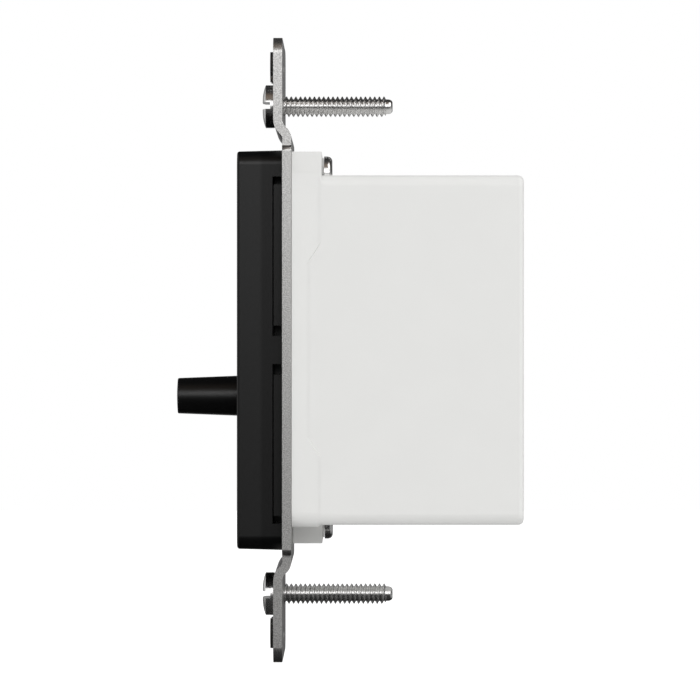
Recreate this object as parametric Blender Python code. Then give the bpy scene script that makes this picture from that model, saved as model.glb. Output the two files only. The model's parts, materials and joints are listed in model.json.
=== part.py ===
"""Slide dimmer for a wall box: steel mounting strap, black front with a sliding knob, pale rear housing.

Metres, +Z up. X runs across the device, -Y points into the room and +Y into the wall.
The origin is the middle of the device, in the plane of the wall that the ears lie on.
"""

import math

import bmesh
import bpy

MM = 0.001

# Clearances
SEAT = 0.06 * MM  # between pieces that rest on each other
FIT = 0.3 * MM  # around what passes through an opening
RUN = 0.3 * MM  # between pieces that slide past each other
WIPE = 0.1 * MM  # between a sliding contact and its strip

# Mounting strap, a steel pressing whose ears stand one thickness forward of its middle
STRAP_THICK = 1.52 * MM
STRAP_LENGTH = 104.5 * MM
EAR_WIDTH = 35.4 * MM
EAR_CORNER = 2.75 * MM
MIDDLE_MARGIN = 0.26 * MM
MIDDLE_LENGTH = 68.3 * MM
MIDDLE_CORNER = 1.0 * MM
FLAT_LENGTH = 70.6 * MM
JOGGLE_LENGTH = 3.3 * MM
LOWER_BEND = 1.65 * MM
WINDOW_WIDTH = 8.0 * MM
WINDOW_CORNER = 1.0 * MM
PLATE_SCREW_SPACING = 96.84 * MM
PLATE_HOLE = 2.9 * MM
COLLAR_OUTER = 5.2 * MM
COLLAR_HEIGHT = 0.8 * MM
COLLAR_LIP_WIDTH = 1.6 * MM
COLLAR_LIP_HEIGHT = 0.6 * MM

# Mounting screws, number 6 with 32 threads to the inch
BOX_SCREW_SPACING = 83.34 * MM
BOX_SCREW_SHANK = 3.5 * MM
BOX_SCREW_LENGTH = 20.17 * MM
BOX_SCREW_POINT = 2.5 * MM
BOX_SCREW_POINT_LENGTH = 1.1 * MM
BOX_SCREW_POINT_EDGE = 0.4 * MM
BOX_SCREW_HEAD = 7.33 * MM
BOX_SCREW_RIM = 1.5 * MM
BOX_SCREW_DOME = 0.55 * MM
BOX_SCREW_SLOT = 1.15 * MM
BOX_SCREW_SLOT_DEPTH = 1.35 * MM
EAR_SLOT_LENGTH = 6.6 * MM

# Front cover
COVER_WIDTH = 33.0 * MM
COVER_HEIGHT = 66.97 * MM
COVER_DEPTH = 7.6 * MM
COVER_CORNER = 2.5 * MM
COVER_DRAFT = 0.18 * MM
COVER_EDGE = 0.45 * MM
COVER_WALL = 1.8 * MM
COVER_FRONT = 2.0 * MM
TRACK_DEPTH = 0.6 * MM
NOTCH_DEPTH = 1.63 * MM
NOTCH_LENGTH = 26.66 * MM
NOTCH_SPACING = 31.34 * MM
LATCH_WIDTH = 3.8 * MM
LATCH_THICK = 1.9 * MM
LATCH_HOOK = 0.8 * MM
LATCH_REACH = 1.1 * MM
LATCH_ROOT = 0.3 * MM

# Guide frame behind the cover
TONGUE_LENGTH = 23.6 * MM
TONGUE_SPACING = 31.8 * MM
TONGUE_RECESS = 0.15 * MM
FRAME_THICK = 1.4 * MM
RAIL_HEIGHT = 1.1 * MM
RAIL_WIDTH = 1.8 * MM
RAIL_SPACING = 13.0 * MM
RAIL_MARGIN = 1.6 * MM

# Sliding knob and what it carries
TRAVEL = 30.0 * MM
KNOB_Z = -7.78 * MM
KNOB_WIDTH = 11.0 * MM
KNOB_HEIGHT = 6.85 * MM
KNOB_REACH = 10.57 * MM
KNOB_TAPER = 0.41 * MM
KNOB_EDGE = 0.2 * MM
KNOB_DOME = 0.12 * MM
STEM_WIDTH = 2.6 * MM
STEM_HEIGHT = 4.8 * MM
CARRIAGE_WIDTH = 17.0 * MM
CARRIAGE_LENGTH = 14.0 * MM
CARRIAGE_THICK = 1.7 * MM

# Slide potentiometer behind the strap
POT_WIDTH = 9.0 * MM
POT_WALL = 1.0 * MM
POT_FLOOR = 1.6 * MM
POT_DEPTH = 7.7 * MM
CARRIER_LENGTH = 8.0 * MM
CARRIER_THICK = 3.0 * MM
STRIP_WIDTH = 1.1 * MM
STRIP_THICK = 0.2 * MM
STRIP_PITCH = 1.7 * MM
SWITCH_GAP = 3.0 * MM
LEAF_THICK = 0.25 * MM
LEAF_LENGTH = 6.4 * MM
LEAF_RISE = 0.8 * MM

# Rear housing
HOUSING_WIDTH = 38.0 * MM
HOUSING_HEIGHT = 58.3 * MM
HOUSING_DEPTH = 38.68 * MM
HOUSING_CORNER = 2.0 * MM
HOUSING_EDGE = 0.9 * MM
HOUSING_WALL = 1.8 * MM
HOUSING_FLOOR = 2.0 * MM
RIM_STEP = 0.34 * MM
RIM_SLOPE = 0.6 * MM
RIM_DEPTH = 3.1 * MM
RIM_SHALLOW_LENGTH = 29.46 * MM
RIM_RAMP = 2.95 * MM
LUG_THICK = 5.0 * MM
LUG_WIDTH = 20.0 * MM
LUG_SPAN = 66.07 * MM
POST_DIAMETER = 3.2 * MM
POST_SPACING_X = 28.6 * MM
POST_SPACING_Z = 42.0 * MM

# Housing screws, driven from the back through the lugs into the strap
HOUSING_SCREW_HEAD = 5.7 * MM
HOUSING_SCREW_HEAD_HEIGHT = 1.4 * MM
HOUSING_SCREW_EDGE = 0.85 * MM
HOUSING_SCREW_SHANK = 2.7 * MM
HOUSING_SCREW_MARGIN = 0.335 * MM
WASHER_OUTER = 5.2 * MM
WASHER_THICK = 0.23 * MM
DRIVER_ROOM = 0.45 * MM

# Circuit board and terminals
BOARD_THICK = 1.6 * MM
TERMINAL_PITCH = 13.0 * MM
TERMINAL_DEPTH = 21.0 * MM
TERMINAL_WINDOW = 7.4 * MM
TERMINAL_OVERLAP = 0.8 * MM
TERMINAL_THICK = 1.2 * MM
TERMINAL_HEAD = 6.6 * MM
TERMINAL_HEAD_HEIGHT = 2.0 * MM
TERMINAL_SHANK = 3.4 * MM
TERMINAL_SHANK_LENGTH = 5.0 * MM

# Power switch of the dimmer, flat on the strap that cools it
TRIAC_Z = 4.6 * MM
TRIAC_WIDTH = 10.0 * MM
TRIAC_BODY_LENGTH = 9.0 * MM
TRIAC_BODY_THICK = 4.4 * MM
TRIAC_TAB_LENGTH = 6.4 * MM
TRIAC_TAB_THICK = 1.3 * MM
PAD_THICK = 0.25 * MM
PAD_MARGIN = 0.2 * MM
RIVET_SHANK = 2.8 * MM
RIVET_HEAD = 5.0 * MM
RIVET_HEAD_HEIGHT = 0.8 * MM

# Pieces on the back of the board
CHOKE_DIAMETER = 13.0 * MM
CHOKE_HUB = 6.0 * MM
CHOKE_HEIGHT = 14.0 * MM
CHOKE_FLANGE = 1.6 * MM
CHOKE_WINDING = 11.4 * MM
CHOKE_X = 7.0 * MM
CHOKE_Z = 11.0 * MM
FILM_SIZE = (9.0 * MM, 13.0 * MM, 18.0 * MM)
FILM_X = 6.5 * MM
FILM_Z = -9.6 * MM
TIMING_SIZE = (4.0 * MM, 8.0 * MM, 7.0 * MM)
TIMING_X = -5.0 * MM
TIMING_Z = 13.0 * MM
AXIAL_X = -5.0 * MM
RESISTOR_DIAMETER = 2.4 * MM
RESISTOR_LENGTH = 6.4 * MM
RESISTOR_Z = -4.0 * MM
DIAC_DIAMETER = 1.9 * MM
DIAC_LENGTH = 4.0 * MM
DIAC_Z = -13.0 * MM

# Levels along Y, from the room to the wall
COVER_Y = -COVER_DEPTH
TRACK_FLOOR = COVER_Y + TRACK_DEPTH
CARRIAGE_BACK = -SEAT - FRAME_THICK - RAIL_HEIGHT - RUN
CARRIAGE_FRONT = CARRIAGE_BACK - CARRIAGE_THICK
STRAP_BACK = STRAP_THICK
HOUSING_FRONT = STRAP_BACK + SEAT
LUG_BACK = HOUSING_FRONT + LUG_THICK
HOUSING_BACK = HOUSING_FRONT + HOUSING_DEPTH
POT_FRONT = STRAP_BACK + SEAT
POT_BACK = POT_FRONT + POT_DEPTH
STRIP_BACK = POT_BACK - POT_FLOOR - SEAT
STRIP_FRONT = STRIP_BACK - STRIP_THICK
BOARD_FRONT = POT_BACK + SEAT
BOARD_BACK = BOARD_FRONT + BOARD_THICK
ON_BOARD = BOARD_BACK + SEAT
PAD_FRONT = STRAP_BACK + SEAT
TRIAC_FRONT = PAD_FRONT + PAD_THICK + SEAT

# Places that several pieces share
SLOT_HALF = STEM_WIDTH / 2 + RUN
SLOT_REACH = TRAVEL / 2 + STEM_HEIGHT / 2 + RUN
POT_INSIDE = TRAVEL + CARRIER_LENGTH + 2 * RUN
POT_LENGTH = POT_INSIDE + 2 * POT_WALL
CARRIER_WIDTH = POT_WIDTH - 2 * POT_WALL - 2 * RUN
CARRIER_BACK = STRIP_FRONT - WIPE - LEAF_THICK - LEAF_RISE - SEAT
CARRIER_FRONT = CARRIER_BACK - CARRIER_THICK
HOUSING_SCREW_X = (HOUSING_WIDTH - LUG_WIDTH) / 2
HOUSING_SCREW_Z = LUG_SPAN / 2 - HOUSING_SCREW_MARGIN - HOUSING_SCREW_HEAD / 2
CHANNEL_HALF = HOUSING_SCREW_HEAD / 2 + DRIVER_ROOM
CHANNEL_FLOOR = HOUSING_SCREW_Z - CHANNEL_HALF
MIDDLE_WIDTH = HOUSING_WIDTH + 2 * RIM_STEP + 2 * MIDDLE_MARGIN
INNER_X = HOUSING_WIDTH / 2 - HOUSING_WALL
BOARD_HALF_Z = CHANNEL_FLOOR - HOUSING_WALL - FIT
COVER_INNER_X = COVER_WIDTH / 2 - COVER_WALL
LATCH_OUT = COVER_INNER_X + LATCH_ROOT
TRIAC_X = INNER_X - FIT - PAD_MARGIN - TRIAC_WIDTH / 2
RIVET_Z = TRIAC_Z + TRIAC_BODY_LENGTH + TRIAC_TAB_LENGTH / 2
TERMINAL_Y = TERMINAL_DEPTH + HOUSING_FRONT

ROUND = 32  # sides of a screw or other round piece


def clear_scene():
    for thing in list(bpy.data.objects):
        bpy.data.objects.remove(thing, do_unlink=True)


def material(name, colour, roughness, metallic=0.0):
    made = bpy.data.materials.new(name)
    made.use_nodes = True
    shader = made.node_tree.nodes["Principled BSDF"]
    shader.inputs["Base Color"].default_value = (*colour, 1.0)
    shader.inputs["Roughness"].default_value = roughness
    shader.inputs["Metallic"].default_value = metallic
    return made


# Outlines, as lists of points that run anticlockwise


def arc(centre, radius, start, stop, steps=6):
    """Points along a circular arc between two angles in degrees."""
    points = []
    for step in range(steps + 1):
        angle = math.radians(start + (stop - start) * step / steps)
        points.append((centre[0] + radius * math.cos(angle), centre[1] + radius * math.sin(angle)))
    return points


def circle(diameter, centre=(0, 0), steps=ROUND):
    return arc(centre, diameter / 2, 0, 360, steps)[:-1]


def four_ways(quarter):
    """A whole outline from its first quadrant, given from the first axis round to the second."""
    left = [(-u, v) for u, v in reversed(quarter)]
    below = [(-u, -v) for u, v in quarter]
    right = [(u, -v) for u, v in reversed(quarter)]
    whole = quarter + left + below + right
    return [point for i, point in enumerate(whole) if math.dist(point, whole[i - 1]) > 0.001 * MM]


def rounded_rectangle(width, height, radius):
    corner = (width / 2 - radius, height / 2 - radius)
    return four_ways(arc(corner, radius, 0, 90))


def rectangle(low, high):
    return [(low[0], low[1]), (high[0], low[1]), (high[0], high[1]), (low[0], high[1])]


def stadium(width, height):
    """A slot with round ends; the longer side may be either one."""
    steps = ROUND // 4
    if width > height:
        return four_ways(arc(((width - height) / 2, 0), height / 2, 0, 90, steps))
    return four_ways(arc((0, (height - width) / 2), width / 2, 0, 90, steps))


# Solids


def ring(outline, axis, level):
    """An outline stood square to an axis: it is read as (Y, Z), (X, Z) or (X, Y)."""
    if axis == "X":
        return [(level, u, v) for u, v in outline]
    if axis == "Y":
        return [(u, level, v) for u, v in outline]
    return [(u, v, level) for u, v in outline]


def loft(name, rings, look, closed=False):
    """A solid through rings of equal count, capped at its ends or, for a tube, closed on itself."""
    shape = bmesh.new()
    loops = [[shape.verts.new(point) for point in one] for one in rings]
    pairs = list(zip(loops, loops[1:]))
    if closed:
        pairs.append((loops[-1], loops[0]))
    else:
        shape.faces.new(loops[0])
        shape.faces.new(loops[-1])
    for near, far in pairs:
        for i in range(len(near)):
            j = (i + 1) % len(near)
            shape.faces.new((near[i], near[j], far[j], far[i]))
    bmesh.ops.recalc_face_normals(shape, faces=shape.faces)
    mesh = bpy.data.meshes.new(name)
    shape.to_mesh(mesh)
    shape.free()
    mesh.shade_smooth()
    mesh.set_sharp_from_angle(angle=math.radians(30))
    made = bpy.data.objects.new(name, mesh)
    bpy.context.scene.collection.objects.link(made)
    if look:
        mesh.materials.append(look)
    return made


def prism(name, outline, axis, start, stop, look=None):
    return loft(name, [ring(outline, axis, start), ring(outline, axis, stop)], look)


def box(name, low, high, look=None):
    return prism(name, rectangle((low[0], low[2]), (high[0], high[2])), "Y", low[1], high[1], look)


def turned(name, profile, axis, look, steps=ROUND, closed=False):
    """A turned piece from (diameter, level) pairs along its axis."""
    rings = [ring(circle(diameter, steps=steps), axis, level) for diameter, level in profile]
    return loft(name, rings, look, closed)


def combine(target, tool, operation):
    tool.hide_render = True
    tool.display_type = "WIRE"
    step = target.modifiers.new(tool.name, "BOOLEAN")
    step.operation = operation
    step.object = tool


def cut(target, tool):
    combine(target, tool, "DIFFERENCE")


def join(target, tool):
    combine(target, tool, "UNION")


# Mounting strap


def strap_side(side):
    """One side of the bent sheet as (Y, Z) points, from the lower end up: 1 is its back, -1 its front."""
    turn = 2 * math.atan2(STRAP_THICK, JOGGLE_LENGTH)
    upper_bend = JOGGLE_LENGTH / math.sin(turn) - LOWER_BEND
    half = side * STRAP_THICK / 2
    bottom = FLAT_LENGTH / 2
    top = bottom + JOGGLE_LENGTH
    middle_y = STRAP_THICK / 2
    ear_y = -STRAP_THICK / 2
    degrees = math.degrees(turn)
    upper = arc((middle_y - LOWER_BEND, bottom), LOWER_BEND + half, 0, degrees, 5)
    upper += arc((ear_y + upper_bend, top), upper_bend - half, 180 + degrees, 180, 5)[1:]
    upper.append((ear_y + half, STRAP_LENGTH / 2))
    lower = [(y, -z) for y, z in reversed(upper)]
    return lower + upper


def strap_front():
    """The strap's outline seen from the room, with the middle wider than the ears."""
    middle = (MIDDLE_WIDTH / 2 - MIDDLE_CORNER, MIDDLE_LENGTH / 2 - MIDDLE_CORNER)
    ear = (EAR_WIDTH / 2 - EAR_CORNER, STRAP_LENGTH / 2 - EAR_CORNER)
    quarter = arc(middle, MIDDLE_CORNER, 0, 90)
    quarter.append((EAR_WIDTH / 2, MIDDLE_LENGTH / 2))
    return four_ways(quarter + arc(ear, EAR_CORNER, 0, 90))


def collar(end):
    """The raised collar round a wall plate's screw hole, with a low lip on its inner side."""
    front = -STRAP_THICK - COLLAR_HEIGHT
    inside = -STRAP_THICK / 2
    made = turned("collar", [(COLLAR_OUTER, front), (COLLAR_OUTER, inside)], "Y", None)
    half = COLLAR_LIP_WIDTH / 2
    low_z = (BOX_SCREW_SPACING + BOX_SCREW_HEAD - PLATE_SCREW_SPACING) / 2 + FIT
    lip_front = -STRAP_THICK - COLLAR_LIP_HEIGHT
    lip = box("collar_lip", (-half, lip_front, low_z), (half, inside, -PLATE_HOLE / 2))
    join(made, lip)
    for piece in (made, lip):
        piece.location.z = end * PLATE_SCREW_SPACING / 2
        piece.rotation_euler.y = 0 if end > 0 else math.pi
    return made


def hole(name, outline, x, z):
    """A cutter that goes right through the strap and what lies on it."""
    made = prism(name, outline, "Y", -6 * STRAP_THICK, 6 * STRAP_THICK)
    made.location = (x, 0, z)
    return made


def mounting_strap(look):
    width = MIDDLE_WIDTH / 2 + STRAP_THICK
    side = strap_side(1) + strap_side(-1)[::-1]
    strap = prism("mounting_strap", side, "X", -width, width, look)
    combine(strap, hole("strap_front", strap_front(), 0, 0), "INTERSECT")
    for end in (1, -1):
        join(strap, collar(end))
        cut(strap, hole("plate_hole", circle(PLATE_HOLE), 0, end * PLATE_SCREW_SPACING / 2))
        ear_slot = stadium(EAR_SLOT_LENGTH, BOX_SCREW_SHANK + 2 * FIT)
        cut(strap, hole("ear_slot", ear_slot, 0, end * BOX_SCREW_SPACING / 2))
        screw_hole = circle(HOUSING_SCREW_SHANK + 2 * FIT)
        cut(strap, hole("screw_hole", screw_hole, end * HOUSING_SCREW_X, end * HOUSING_SCREW_Z))
        latch_x = end * (LATCH_OUT - LATCH_THICK / 2)
        latch_slot = rounded_rectangle(LATCH_THICK + 2 * FIT, LATCH_WIDTH + 2 * FIT, FIT)
        cut(strap, hole("latch_slot", latch_slot, latch_x, 0))
    window = rounded_rectangle(WINDOW_WIDTH, 2 * SLOT_REACH + 2 * FIT, WINDOW_CORNER)
    cut(strap, hole("lever_window", window, 0, 0))
    cut(strap, hole("rivet_hole", circle(RIVET_SHANK + 2 * FIT), TRIAC_X, RIVET_Z))


def mounting_screws(look):
    """Round-headed slotted screws that hold the ears to the wall box, shown with plain shanks."""
    seat = -STRAP_THICK - SEAT
    rim = seat - BOX_SCREW_RIM
    profile = []
    for step in range(1, 7):
        share = step / 6
        profile.append((BOX_SCREW_HEAD * share, rim - BOX_SCREW_DOME * (1 - share**3)))
    shank_end = seat + BOX_SCREW_LENGTH - BOX_SCREW_POINT_LENGTH
    profile += [(BOX_SCREW_HEAD, seat), (BOX_SCREW_SHANK, seat), (BOX_SCREW_SHANK, shank_end)]
    tip = shank_end + BOX_SCREW_POINT_LENGTH
    profile += [(BOX_SCREW_POINT, shank_end), (BOX_SCREW_POINT, tip - BOX_SCREW_POINT_EDGE)]
    profile.append((BOX_SCREW_POINT - 2 * BOX_SCREW_POINT_EDGE, tip))
    reach = BOX_SCREW_HEAD
    slot_floor = rim - BOX_SCREW_DOME + BOX_SCREW_SLOT_DEPTH
    half = BOX_SCREW_SLOT / 2
    for name, end in (("mounting_screw_top", 1), ("mounting_screw_bottom", -1)):
        screw = turned(name, profile, "Y", look)
        slot = box("screw_slot", (-reach, slot_floor - reach, -half), (reach, slot_floor, half))
        cut(screw, slot)
        for piece in (screw, slot):
            piece.location.z = end * BOX_SCREW_SPACING / 2


# Front cover and guide frame


def cover_outline(inset):
    return rounded_rectangle(COVER_WIDTH - 2 * inset, COVER_HEIGHT - 2 * inset, COVER_CORNER - inset)


def front_cover(look):
    """A shallow black box, open behind, with its knob's track and slot, side notches and two latches."""
    rings = [ring(cover_outline(0), "Y", -SEAT)]
    rings.append(ring(cover_outline(COVER_DRAFT), "Y", COVER_Y + COVER_EDGE))
    for step in range(1, 5):
        angle = math.radians(90 * step / 4)
        inset = COVER_DRAFT + COVER_EDGE * (1 - math.cos(angle))
        rings.append(ring(cover_outline(inset), "Y", COVER_Y + COVER_EDGE * (1 - math.sin(angle))))
    cover = loft("front_cover", rings, look)
    inside = cover_outline(COVER_WALL)
    cut(cover, prism("cover_inside", inside, "Y", COVER_Y + COVER_FRONT, COVER_DEPTH))
    track = rounded_rectangle(KNOB_WIDTH + 2 * RUN, TRAVEL + KNOB_HEIGHT + 2 * RUN, KNOB_HEIGHT / 2 + RUN)
    cut(cover, prism("knob_track", track, "Y", 2 * COVER_Y, TRACK_FLOOR))
    cut(cover, prism("knob_slot", stadium(2 * SLOT_HALF, 2 * SLOT_REACH), "Y", 2 * COVER_Y, 0))
    for end in (1, -1):
        low = (-COVER_WIDTH, -NOTCH_DEPTH, end * NOTCH_SPACING / 2 - NOTCH_LENGTH / 2)
        high = (COVER_WIDTH, NOTCH_DEPTH, end * NOTCH_SPACING / 2 + NOTCH_LENGTH / 2)
        cut(cover, box("side_notch", low, high))
    for side in (1, -1):
        join(cover, latch(side))


def latch(side):
    """A leg from the cover's side wall through the strap, with a hook that catches its back."""
    inner = LATCH_OUT - LATCH_THICK
    catch = STRAP_BACK + SEAT
    outline = [
        (inner, COVER_Y + COVER_FRONT / 2),
        (LATCH_OUT, COVER_Y + COVER_FRONT / 2),
        (LATCH_OUT, catch),
        (LATCH_OUT + LATCH_HOOK, catch),
        (LATCH_OUT - LATCH_THICK / 3, catch + LATCH_REACH),
        (inner, catch + LATCH_REACH),
    ]
    outline = [(side * x, y) for x, y in outline]
    return prism("latch", outline, "Z", -LATCH_WIDTH / 2, LATCH_WIDTH / 2)


def guide_frame(look):
    """A frame under the cover: arms that close the cover's notches and rails that carry the carriage."""
    core = (RAIL_SPACING + RAIL_WIDTH) / 2 + RAIL_MARGIN
    half_z = COVER_HEIGHT / 2 - COVER_WALL - FIT
    tongue_x = COVER_WIDTH / 2 - TONGUE_RECESS
    low_z = (TONGUE_SPACING - TONGUE_LENGTH) / 2
    high_z = (TONGUE_SPACING + TONGUE_LENGTH) / 2
    quarter = [
        (core, 0),
        (core, low_z),
        (tongue_x, low_z),
        (tongue_x, high_z),
        (core, high_z),
        (core, half_z),
        (0, half_z),
    ]
    back = -SEAT
    front = back - FRAME_THICK
    frame = prism("guide_frame", four_ways(quarter), "Y", front, back, look)
    for side in (1, -1):
        low = (side * RAIL_SPACING / 2 - RAIL_WIDTH / 2, front - RAIL_HEIGHT, -SLOT_REACH - RAIL_WIDTH)
        high = (side * RAIL_SPACING / 2 + RAIL_WIDTH / 2, back - FRAME_THICK / 2, SLOT_REACH + RAIL_WIDTH)
        join(frame, box("rail", low, high))
    cut(frame, hole("lever_slot", stadium(2 * SLOT_HALF, 2 * SLOT_REACH), 0, 0))
    cut(frame, hole("rivet_relief", circle(RIVET_HEAD + 2 * FIT), TRIAC_X, RIVET_Z))


# The sliding body


def knob_outline(inset):
    return stadium(KNOB_WIDTH - 2 * inset, KNOB_HEIGHT - 2 * inset)


def slider_knob(look, slider):
    """A tapered finger tab with round ends and a domed tip, on a stem that passes through the cover."""
    root = TRACK_FLOOR - RUN
    tip = COVER_Y - KNOB_REACH
    shoulder = tip + KNOB_DOME + KNOB_EDGE
    rings = [ring(knob_outline(0), "Y", root), ring(knob_outline(KNOB_TAPER), "Y", shoulder)]
    for step in range(1, 5):
        angle = math.radians(75 * step / 4)
        inset = KNOB_TAPER + KNOB_EDGE * (1 - math.cos(angle))
        rings.append(ring(knob_outline(inset), "Y", shoulder - KNOB_EDGE * math.sin(angle)))
    crown = shoulder - KNOB_EDGE * math.sin(math.radians(75))
    rest = KNOB_HEIGHT / 2 - inset
    for step in range(1, 5):
        share = step / 4.3
        level = crown + (tip - crown) * (1 - (1 - share) ** 2)
        rings.append(ring(knob_outline(inset + rest * share), "Y", level))
    knob = loft("slider_knob", rings, look)
    outline = stadium(STEM_WIDTH, STEM_HEIGHT)
    stem = prism("knob_stem", outline, "Y", root - KNOB_EDGE, CARRIAGE_FRONT - SEAT)
    join(knob, stem)
    knob.parent = slider
    stem.parent = slider


def slider_carriage(look, slider):
    """A plate that rides on the guide frame's rails, with a lever that reaches through the strap."""
    outline = rounded_rectangle(CARRIAGE_WIDTH, CARRIAGE_LENGTH, CARRIAGE_THICK)
    plate = prism("slider_carriage", outline, "Y", CARRIAGE_FRONT, CARRIAGE_BACK, look)
    outline = stadium(STEM_WIDTH, STEM_HEIGHT)
    lever = prism("lever", outline, "Y", CARRIAGE_BACK - CARRIAGE_THICK / 2, CARRIER_FRONT - SEAT)
    join(plate, lever)
    plate.parent = slider
    lever.parent = slider


def wiper_carrier(look, slider):
    low = (-CARRIER_WIDTH / 2, CARRIER_FRONT, -CARRIER_LENGTH / 2)
    high = (CARRIER_WIDTH / 2, CARRIER_BACK, CARRIER_LENGTH / 2)
    box("wiper_carrier", low, high, look).parent = slider


def contact_leaf(name, x, look, slider):
    """A bowed spring leaf under the carrier that bridges two strips."""
    half = LEAF_LENGTH / 2
    crest = STRIP_FRONT - WIPE
    bow = []
    for step in range(9):
        z = -half + LEAF_LENGTH * step / 8
        bow.append((crest - LEAF_RISE * (z / half) ** 2, z))
    outline = bow + [(y - LEAF_THICK, z) for y, z in reversed(bow)]
    reach = (STRIP_PITCH + STRIP_WIDTH) / 2
    prism(name, outline, "X", x - reach, x + reach, look).parent = slider


# Slide potentiometer and switch strips


def pot_base(look):
    """An insulating tray between the strap and the board, open towards the strap."""
    low = (-POT_WIDTH / 2, POT_FRONT, -POT_LENGTH / 2)
    high = (POT_WIDTH / 2, POT_BACK, POT_LENGTH / 2)
    tray = box("pot_base", low, high, look)
    low = (POT_WALL - POT_WIDTH / 2, POT_FRONT - POT_WALL, -POT_INSIDE / 2)
    high = (POT_WIDTH / 2 - POT_WALL, POT_BACK - POT_FLOOR, POT_INSIDE / 2)
    cut(tray, box("tray_inside", low, high))


def strip(name, place, low_z, look):
    """A contact strip on the tray's floor, from its lower end to the top of the travel."""
    x = (place - 1.5) * STRIP_PITCH
    low = (x - STRIP_WIDTH / 2, STRIP_FRONT, low_z)
    high = (x + STRIP_WIDTH / 2, STRIP_BACK, (TRAVEL + CARRIER_LENGTH) / 2)
    box(name, low, high, look)


# Rear housing


def housing_outline(inset):
    """The housing's outline with a screwdriver's channel at the top right and another at the lower left."""
    half_x = HOUSING_WIDTH / 2 - inset
    half_z = HOUSING_HEIGHT / 2 - inset
    radius = HOUSING_CORNER - inset
    channel = CHANNEL_HALF + inset
    floor = CHANNEL_FLOOR - inset
    upper = arc((half_x - radius, half_z - radius), radius, 0, 90)
    upper.append((HOUSING_SCREW_X + channel, half_z))
    upper.append((HOUSING_SCREW_X + channel, floor))
    upper.append((HOUSING_SCREW_X - channel, floor))
    upper.append((HOUSING_SCREW_X - channel, half_z))
    upper += arc((radius - half_x, half_z - radius), radius, 90, 180)
    return upper + [(-x, -z) for x, z in upper]


def rim_outline(inset):
    """The front rim's outline, a step larger than the housing and square where it carries a lug."""
    half_x = HOUSING_WIDTH / 2 + RIM_STEP - inset
    half_z = HOUSING_HEIGHT / 2 + RIM_STEP - inset
    radius = HOUSING_CORNER + 2 * RIM_STEP - inset
    upper = [(half_x, half_z)] + arc((radius - half_x, half_z - radius), radius, 90, 180, 5)
    return upper + [(-x, -z) for x, z in upper]


def rim_gap(shift):
    """What is cut from the rim's sides, as (Y, Z) points: a shallower stretch with a ramp at each end."""
    shallow = HOUSING_FRONT + RIM_DEPTH
    beyond = LUG_BACK + LUG_THICK
    near_z = RIM_SHALLOW_LENGTH / 2
    far_z = near_z + RIM_RAMP * (beyond - shallow) / (LUG_BACK - shallow)
    outline = [(shallow, -near_z), (beyond, -far_z), (beyond, far_z), (shallow, near_z)]
    return [(y - shift, z) for y, z in outline]


def housing_rim():
    """The rim slopes into the housing behind it and is as deep as the lugs only at its ends."""
    rings = [ring(rim_outline(0), "Y", HOUSING_FRONT)]
    rings.append(ring(rim_outline(0), "Y", LUG_BACK - RIM_SLOPE))
    rings.append(ring(rim_outline(RIM_STEP + SEAT), "Y", LUG_BACK))
    rim = loft("housing_rim", rings, None)
    inside = HOUSING_WIDTH / 2 - RIM_STEP
    outside = HOUSING_WIDTH / 2 + 2 * RIM_STEP
    gap = [(-outside, 2), (-inside, -1), (inside, -1), (outside, 2)]
    cut(rim, loft("rim_gap", [ring(rim_gap(share * RIM_SLOPE), "X", x) for x, share in gap], None))
    return rim


def housing_lug(end):
    """A block at one end of the housing, level with its side, that a screw holds to the strap."""
    root = HOUSING_HEIGHT / 2 - HOUSING_WALL
    side = HOUSING_WIDTH / 2
    low = (side - LUG_WIDTH, HOUSING_FRONT, root)
    high = (side, LUG_BACK, LUG_SPAN / 2)
    lug = box("housing_lug", low, high)
    lug.rotation_euler.y = 0 if end > 0 else math.pi
    return lug


def rear_housing(look):
    """A deep moulded cup behind the strap, with board posts inside and terminal windows on its far side."""
    start = HOUSING_FRONT + RIM_DEPTH / 2
    rings = [ring(housing_outline(0), "Y", start)]
    for step in range(5):
        angle = math.radians(90 * step / 4)
        level = HOUSING_BACK - HOUSING_EDGE * (1 - math.sin(angle))
        rings.append(ring(housing_outline(HOUSING_EDGE * (1 - math.cos(angle))), "Y", level))
    housing = loft("rear_housing", rings, look)
    join(housing, housing_rim())
    floor = HOUSING_BACK - HOUSING_FLOOR
    cut(housing, prism("housing_inside", housing_outline(HOUSING_WALL), "Y", -HOUSING_FLOOR, floor))
    post_profile = [(POST_DIAMETER, ON_BOARD), (POST_DIAMETER, floor + HOUSING_FLOOR / 2)]
    for end in (1, -1):
        join(housing, housing_lug(end))
        screw_hole = prism("lug_hole", circle(HOUSING_SCREW_SHANK + 2 * FIT), "Y", 0, 2 * LUG_BACK)
        screw_hole.location = (end * HOUSING_SCREW_X, 0, end * HOUSING_SCREW_Z)
        cut(housing, screw_hole)
        for side in (1, -1):
            post = turned("post", post_profile, "Y", None, 16)
            post.location = (side * POST_SPACING_X / 2, 0, end * POST_SPACING_Z / 2)
            join(housing, post)
    half = TERMINAL_WINDOW / 2
    for place in (-1, 0, 1):
        z = place * TERMINAL_PITCH
        low = (-HOUSING_WIDTH, TERMINAL_Y - half, z - half)
        high = (-INNER_X + HOUSING_WALL / 2, TERMINAL_Y + half, z + half)
        cut(housing, box("terminal_window", low, high))


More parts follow.
